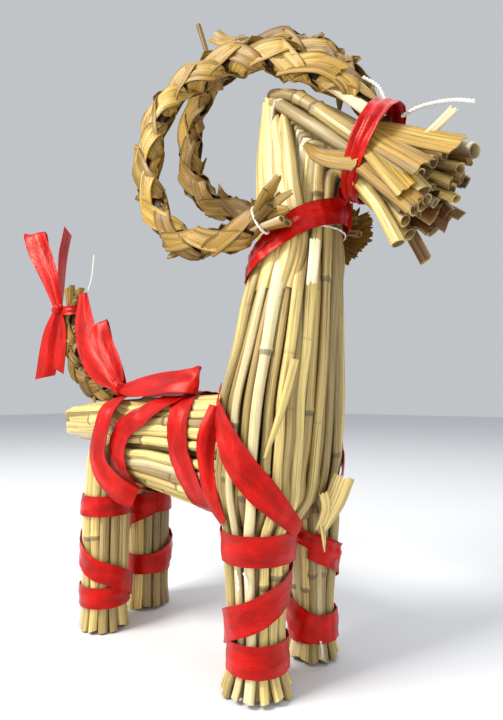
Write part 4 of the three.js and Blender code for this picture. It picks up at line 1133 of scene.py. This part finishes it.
# %% Collar and loose ends
throat = [*neck_rings, {**mitre, "s": mitre["c"][2]}]
on_bundle(throat, [(205, 0), (204, 20), (196, 60), (187, 105), (178, 150), (172.5, 185), (170.5, 210), (173, 240),
                   (180, 270), (188, 300), (197, 330), (203, 350), (205, 360)], 10.5, "collar_ribbon", 30, lift=1.2,
          closed=True, folds=((0.35, 1.6, 0.9),), cup=0.04)
strips = [
    ribbon(rows_of([(-16, -26, 113, 0.8), (-18, -29.8, 99, 1), (-17, -30.8, 87, 0.8), (-14, -31.2, 76, 0.9),
                    (-8, -31.2, 67, 0.6)],
                   [(0.3, -0.9, 0), (0.75, -0.65, 0), (0.1, -1, 0), (-0.3, -0.95, 0)]), 8,
           "short_ribbon", cup=0.1, folds=((0.4, 1.0, 0.4),)),
    ribbon(rows_of([(30, -2, 203, 0.7), (31, 2, 196, 1), (30.5, 3, 188, 0.9)], [(0.9, -0.3, 0.2), (0.9, -0.4, 0)]),
           5.5, "short_ribbon", end_cut=3, cup=0.1),
    ribbon(laid([{**ring, "s": ring["c"][2]} for ring in leg_rings["left_front"]],
                [(58, 262), (55, 290), (51.5, 320), (49, 345), (48, 365)], lift=2.0), 7, "short_ribbon",
           folds=((0.3, 1.5, 0.7),)),
]
joined(strips, "loose_ribbon_ends", SATIN, "red_satin", angle=50)

# %% Halter
# It slants: it lies further forward on the goat's right, and it is pinched under the chin.
around_snout = [{"s": s, "c": row(x, 0, z), "u": unit((-0.458, 0, -0.889)), "v": Y, "a": 18, "b": b}
                for s, x, z, b in ((0, 36.4, 218.8, 15.4), (20, 52.4, 210.5, 17))]
halter = []
for angle in np.linspace(0, 360, 61):
    turn = math.radians(angle)
    s = 9.5 + 4 * math.cos(turn - math.radians(270))
    rise = 1.7 + 0.15 * math.cos(turn * 16)
    pinched = 1 - 0.3 * max(0, math.cos(turn))
    halter.append((*bundle_point(around_snout, s, angle, rise), *bundle_normal(around_snout, s, angle), pinched))
satin([ribbon(halter, 9.5, folds=((0.55, 2.2, 0.4),), cup=0.05, closed=True)], "halter_ribbon")

# %% [markdown]
# ## Bows
# One bow sits on the back and one holds the end of the tail. Each is a knot with loops and loose ends. A cloth
# simulation could drape it, but then its shape would hang on how long it ran, and here every fold has its place.
# So the knot is a sphere squeezed into pleats, and each loop or end is its own strip, narrow where it enters
# the knot.

# %% Knots and free loops
def knot(place, size, turn):
    """A small bulging knot with pleats pulled tight round it."""
    deselect()
    bpy.ops.mesh.primitive_uv_sphere_add(segments=36, ring_count=20, radius=1)
    obj = bpy.context.object
    base = np.array([v.co for v in obj.data.vertices], float)
    angle = np.arctan2(base[:, 1], base[:, 0])
    pinch = 1 + 0.10 * np.sin(5 * angle + 3 * base[:, 2]) * (1 - base[:, 2] ** 2) + 0.06 * np.sin(11 * angle + 2)
    c, s = math.cos(turn), math.sin(turn)
    x, y, z = base.T * np.array(size)[:, None] * (pinch, pinch, np.ones(len(base)))
    corners = np.array(place) + np.stack([x * c + z * s, y, z * c - x * s], axis=1)
    obj.data.vertices.foreach_set("co", (ORIGIN + corners * MM).ravel())
    tag(obj, edge=np.zeros(len(base)))
    obj.data.uv_layers[0].name = "ribbon"
    for uv in obj.data.uv_layers[0].data:
        uv.uv = (uv.uv[0] * 26, uv.uv[1] * 12)
    return obj


def free(points, faces, width=12, **options):
    """A free loop or end of ribbon, given by points and face directions."""
    return ribbon(rows_of(points, faces), width, "short_ribbon" if len(points) < 7 else "ribbon", **options)

# %% Back bow
bow = [
    knot((-101, -7.6, 121.5), (4.4, 3.8, 3.9), 0.5),
    free([(-99, -8, 121.2, 0.4), (-83, -12, 121.6, 1), (-66, -13.5, 123, 1.2), (-50, -13, 124.4, 1.2),
          (-41.5, -9, 124.6, 1.15), (-53, -5.5, 123.5, 1), (-76, -5.5, 121.6, 0.8), (-98, -6.5, 121, 0.35)],
         [(0.1, -0.8, 0.6), (0.2, -0.8, 0.6), (1, 0, 0.3), (0, 0.6, -0.6), (0, 0.6, -0.7)], cup=0.06,
         folds=((0.25, 1.3, 1.2),)),
    free([(-99, -7, 119.4, 0.4), *[(*bundle_point(trunk_rings, x, angle, 2.6, ROUND), 1) for x, angle in
                                  ((-82, 102), (-64, 106), (-46, 108))]],
         [(0, -0.1, 1), (0, -0.3, 1)], end_cut="zigzag", cup=0.03),
    free([(-103, -10.0, 122.6, 0.35), (-112, -10.8, 130, 1.05), (-122, -10.4, 142, 1.25), (-129.5, -9.6, 158, 1.05),
          (-133, -8.5, 177, 0.4)], [(0.3, -0.9, 0.2), (0.4, -0.9, 0)], cup=0.07, folds=((0.3, 1.2, 0.3),)),
    free([(-100, -5, 123, 0.35), (-107.5, -5.2, 134, 0.7), (-117, -5.2, 146.5, 0.9), (-122.5, -3.6, 158, 0.8),
          (-120.5, -6.2, 158.5, 0.8), (-114.5, -7.6, 146, 0.95), (-105.5, -7.6, 134, 0.75),
          (-100, -7.3, 124.5, 0.35)],
         [(-0.6, 0.7, 0.2), (-0.6, 0.7, 0.2), (-0.7, 0, 0.9), (0.6, -0.75, 0.1), (0.6, -0.75, 0.1)], cup=0.1,
         folds=((0.25, 1.2, 0.4),)),
]
satin(bow, "back_bow", "back_bow", "tail_ribbon_strand", "tail_ribbon_loop")

# %% Tail bow
tail_bow = [
    knot((-161, -6.2, 170.5), (3.9, 3.4, 3.6), -0.4),
    free([(-160.5, -6.5, 171.5, 0.4), (-168, -8, 191, 0.8), (-178, -9.5, 209, 1), (-184, -9.5, 221, 1),
          (-186.5, -6.5, 221.5, 1), (-180.5, -6.5, 208, 0.95), (-169.5, -5.8, 189, 0.75), (-161, -5.6, 172, 0.4)],
         [(0.5, -0.8, 0), (0.5, -0.8, 0.2), (-0.5, 0.8, 0), (-0.5, 0.8, 0)], width=14, cup=0.05,
         folds=((0.4, 1.2, 0.8),)),
    free([(-160.5, -5, 171.5, 0.3), (-165.5, -1.5, 186, 0.8), (-166.2, 0, 207, 1), (-161.8, 0, 221.5, 1)],
         [(0.8, 0.55, 0), (0.85, 0.5, 0)], end_cut=4, cup=0.05),
    free([(-161, -7, 169.5, 0.4), (-163, -8.2, 157, 0.9), (-165.5, -8.8, 143, 1.05), (-168.5, -9.2, 128.5, 1)],
         [(0.5, -0.8, 0), (0.55, -0.8, 0)], end_cut=-5, cup=0.08, folds=((0.35, 1.1, 0.2),)),
    free([(-160.5, -6, 169.5, 0.4), (-159.5, -5.8, 158, 0.8), (-159.5, -6, 146, 0.9), (-161, -6, 133, 0.9)],
         [(0.2, -0.95, 0), (0.3, -0.95, 0)], end_cut=4, cup=0.06),
]
round_tail = [(-154.8 + 7.2 * c, 6.0 * s, 169 + 0.35 * c, c, s, 0)
              for c, s in ((math.cos(t), math.sin(t)) for t in np.linspace(0, 2 * math.pi, 25))]
tail_bow.append(ribbon(round_tail, 5.5, "short_ribbon", folds=((0.3, 2.0, 0.2),), closed=True))
satin(tail_bow, "tail_bow")

# %% [markdown]
# ## String
# White string ties the neck and the horn tips, and a few ends stick out at the snout, the tail and the legs. It is
# two plies twisted round each other. A striped bump on a plain cord would do from afar, but close by the
# twist shows in the outline. So each ply is a thin strand that winds round a smooth path.

# %% The string maker
PLY_TURN = 3.2  # Millimetres of string for one full twist.
TIE_WIDE, TIE_DEEP = 4.4, 6.2  # Half widths of the ring of thread round a horn's tip.


def string(points, diameter, name, *nodes, closed=False):
    """A finished string through points."""
    path = smooth(points, 0.5)
    if closed:
        path[-1] = path[0]
    total, marks = marks_of(path)
    _, side, face = frames(path)
    twists = max(1, round(total / PLY_TURN))
    shape = "ring_thread" if total > 60 else "thread"
    plies = []
    for start in (0, math.pi):
        angle = 2 * math.pi * twists * marks / total + start
        ply = path[:, :3] + (side * np.cos(angle)[:, None] + face * np.sin(angle)[:, None]) * diameter * 0.24
        corners, distance = bend(shape, ply, diameter * 0.29)
        plies.append(copy_of(shape, corners))
        tag(plies[-1], grain=np.column_stack([BASE[shape][:, :2], distance]))
    return joined(plies, name, STRING, "white_string", *nodes)


def horn_tie(centre, axis):
    """A ring of points round a horn's tip."""
    other = np.cross(unit(axis), Y)
    return [np.array(centre) + Y * TIE_WIDE * math.cos(t) + other * TIE_DEEP * math.sin(t)
            for t in np.linspace(0, 2 * math.pi, 21)]

# %% Strings and threads
string([bundle_point(neck_rings, 185.8, a, -0.7) for a in range(0, 361, 15)], 1.0, "neck_string_twist",
       "neck_string", closed=True)
for side, centre, axis in (("right", (7, -26.3, 187.4), (0.9, 0, 0.4)),
                           ("left", (15, 26.4, 194), (0.93, 0, -0.36))):
    string(horn_tie(centre, axis), 1.2, side + "_horn_thread_twist", side + "_horn_thread", closed=True)
string([(49.5, 0, 235), (46.5, 0.5, 242), (40, 0.5, 248.5)], 1.7, "snout_string_short_twist",
       "snout_string_short_end")
string([(57, -2, 225.2), (63.5, -2.4, 226.2), (70, -2.7, 225.8), (77.5, -2.8, 224.2), (84, -3, 221.4)], 1.7,
       "snout_string_long_twist", "snout_string_long_end")
LOOSE_STRINGS = (((-1, -31.6, 50), (0.5, -32.2, 46.5), (1, -32.4, 43)),
                 ((3, -31.8, 50), (5, -32.4, 47), (5.5, -32.4, 44.5)),
                 ((11, 12.5, 11), (12, 12, 8), (12.3, 11.6, 5)))
for number, points in enumerate(LOOSE_STRINGS, 1):
    string(points, 1.1, f"loose_string_{number}")
string([(-141, 1, 181), (-138, 1, 188), (-136, 1, 202)], 1.1, "tail_thread_twist", "tail_thread")

# %% [markdown]
# ## Floor, light and camera
# The goat stands on a wide pale floor. One warm light, high on the left of the view, gives the shadows. A tall
# narrow one draws long highlights on straw and satin, and two weak ones and the pale world lift the dark side.
# A sun lamp would be simpler, but its hard edge makes straw look like wire. The camera stands close and low, a
# little in front of the goat's right side.

# %% Floor and world
for obj in SHAPES.values():
    bpy.data.objects.remove(obj)
deselect()
bpy.ops.mesh.primitive_plane_add(size=6, location=(0, 0, 0))
floor = bpy.context.object
floor.name = "floor"
floor.data.materials.append(Nodes("pale_paper").surface(Base_Color=(0.74, 0.75, 0.77, 1), Roughness=0.75))

world = bpy.data.worlds.new("studio")
bpy.context.scene.world = world
world.use_nodes = True
sky = world.node_tree.nodes["Background"].inputs
sky["Color"].default_value = (0.80, 0.835, 0.87, 1)
sky["Strength"].default_value = 0.66
bpy.context.scene.view_settings.view_transform = "Standard"
print("floor size:", tuple(floor.dimensions))

# %% Lights
# Each light has a name, its place, the height that it points at, its size in metres, watts and colour.
LIGHTS = (("key", (-0.35, -0.75, 0.95), 0.12, (0.45, 0.35), 17.5, (1, 0.96, 0.90)),
          ("strip", (-0.25, -0.8, 0.3), 0.1, (0.16, 0.7), 2.0, (1, 1, 1)),
          ("fill", (0.95, -0.35, 0.45), 0.12, (0.8, 0.8), 3, (1, 1, 1)),
          ("top", (0.1, 0.25, 1.1), 0.1, (0.9, 0.9), 3.5, (1, 1, 1)))
for name, place, aim, size, watts, colour in LIGHTS:
    lamp = bpy.data.lights.new(name, "AREA")
    lamp.shape = "RECTANGLE"
    lamp.size, lamp.size_y = size
    lamp.energy = watts
    lamp.color = colour
    light = bpy.data.objects.new(name, lamp)
    bpy.context.scene.collection.objects.link(light)
    light.location = place
    light.rotation_euler = (Vector((0, 0, aim)) - Vector(place)).to_track_quat("-Z", "Y").to_euler()
    print(name, "light:", watts, "W")

# %% Camera
CAMERA_PLACE = (128.232, -196.092, 117)
CAMERA_TURN = (93.9, 0, 36.5)
lens = bpy.data.cameras.new("camera")
lens.lens = 26.5
lens.sensor_width = 36
camera = bpy.data.objects.new("camera", lens)
bpy.context.scene.collection.objects.link(camera)
camera.location = Vector(ORIGIN) + Vector(CAMERA_PLACE) * MM
camera.rotation_euler = [math.radians(angle) for angle in CAMERA_TURN]
bpy.context.scene.camera = camera
print("camera at", tuple(round(c, 4) for c in camera.location))
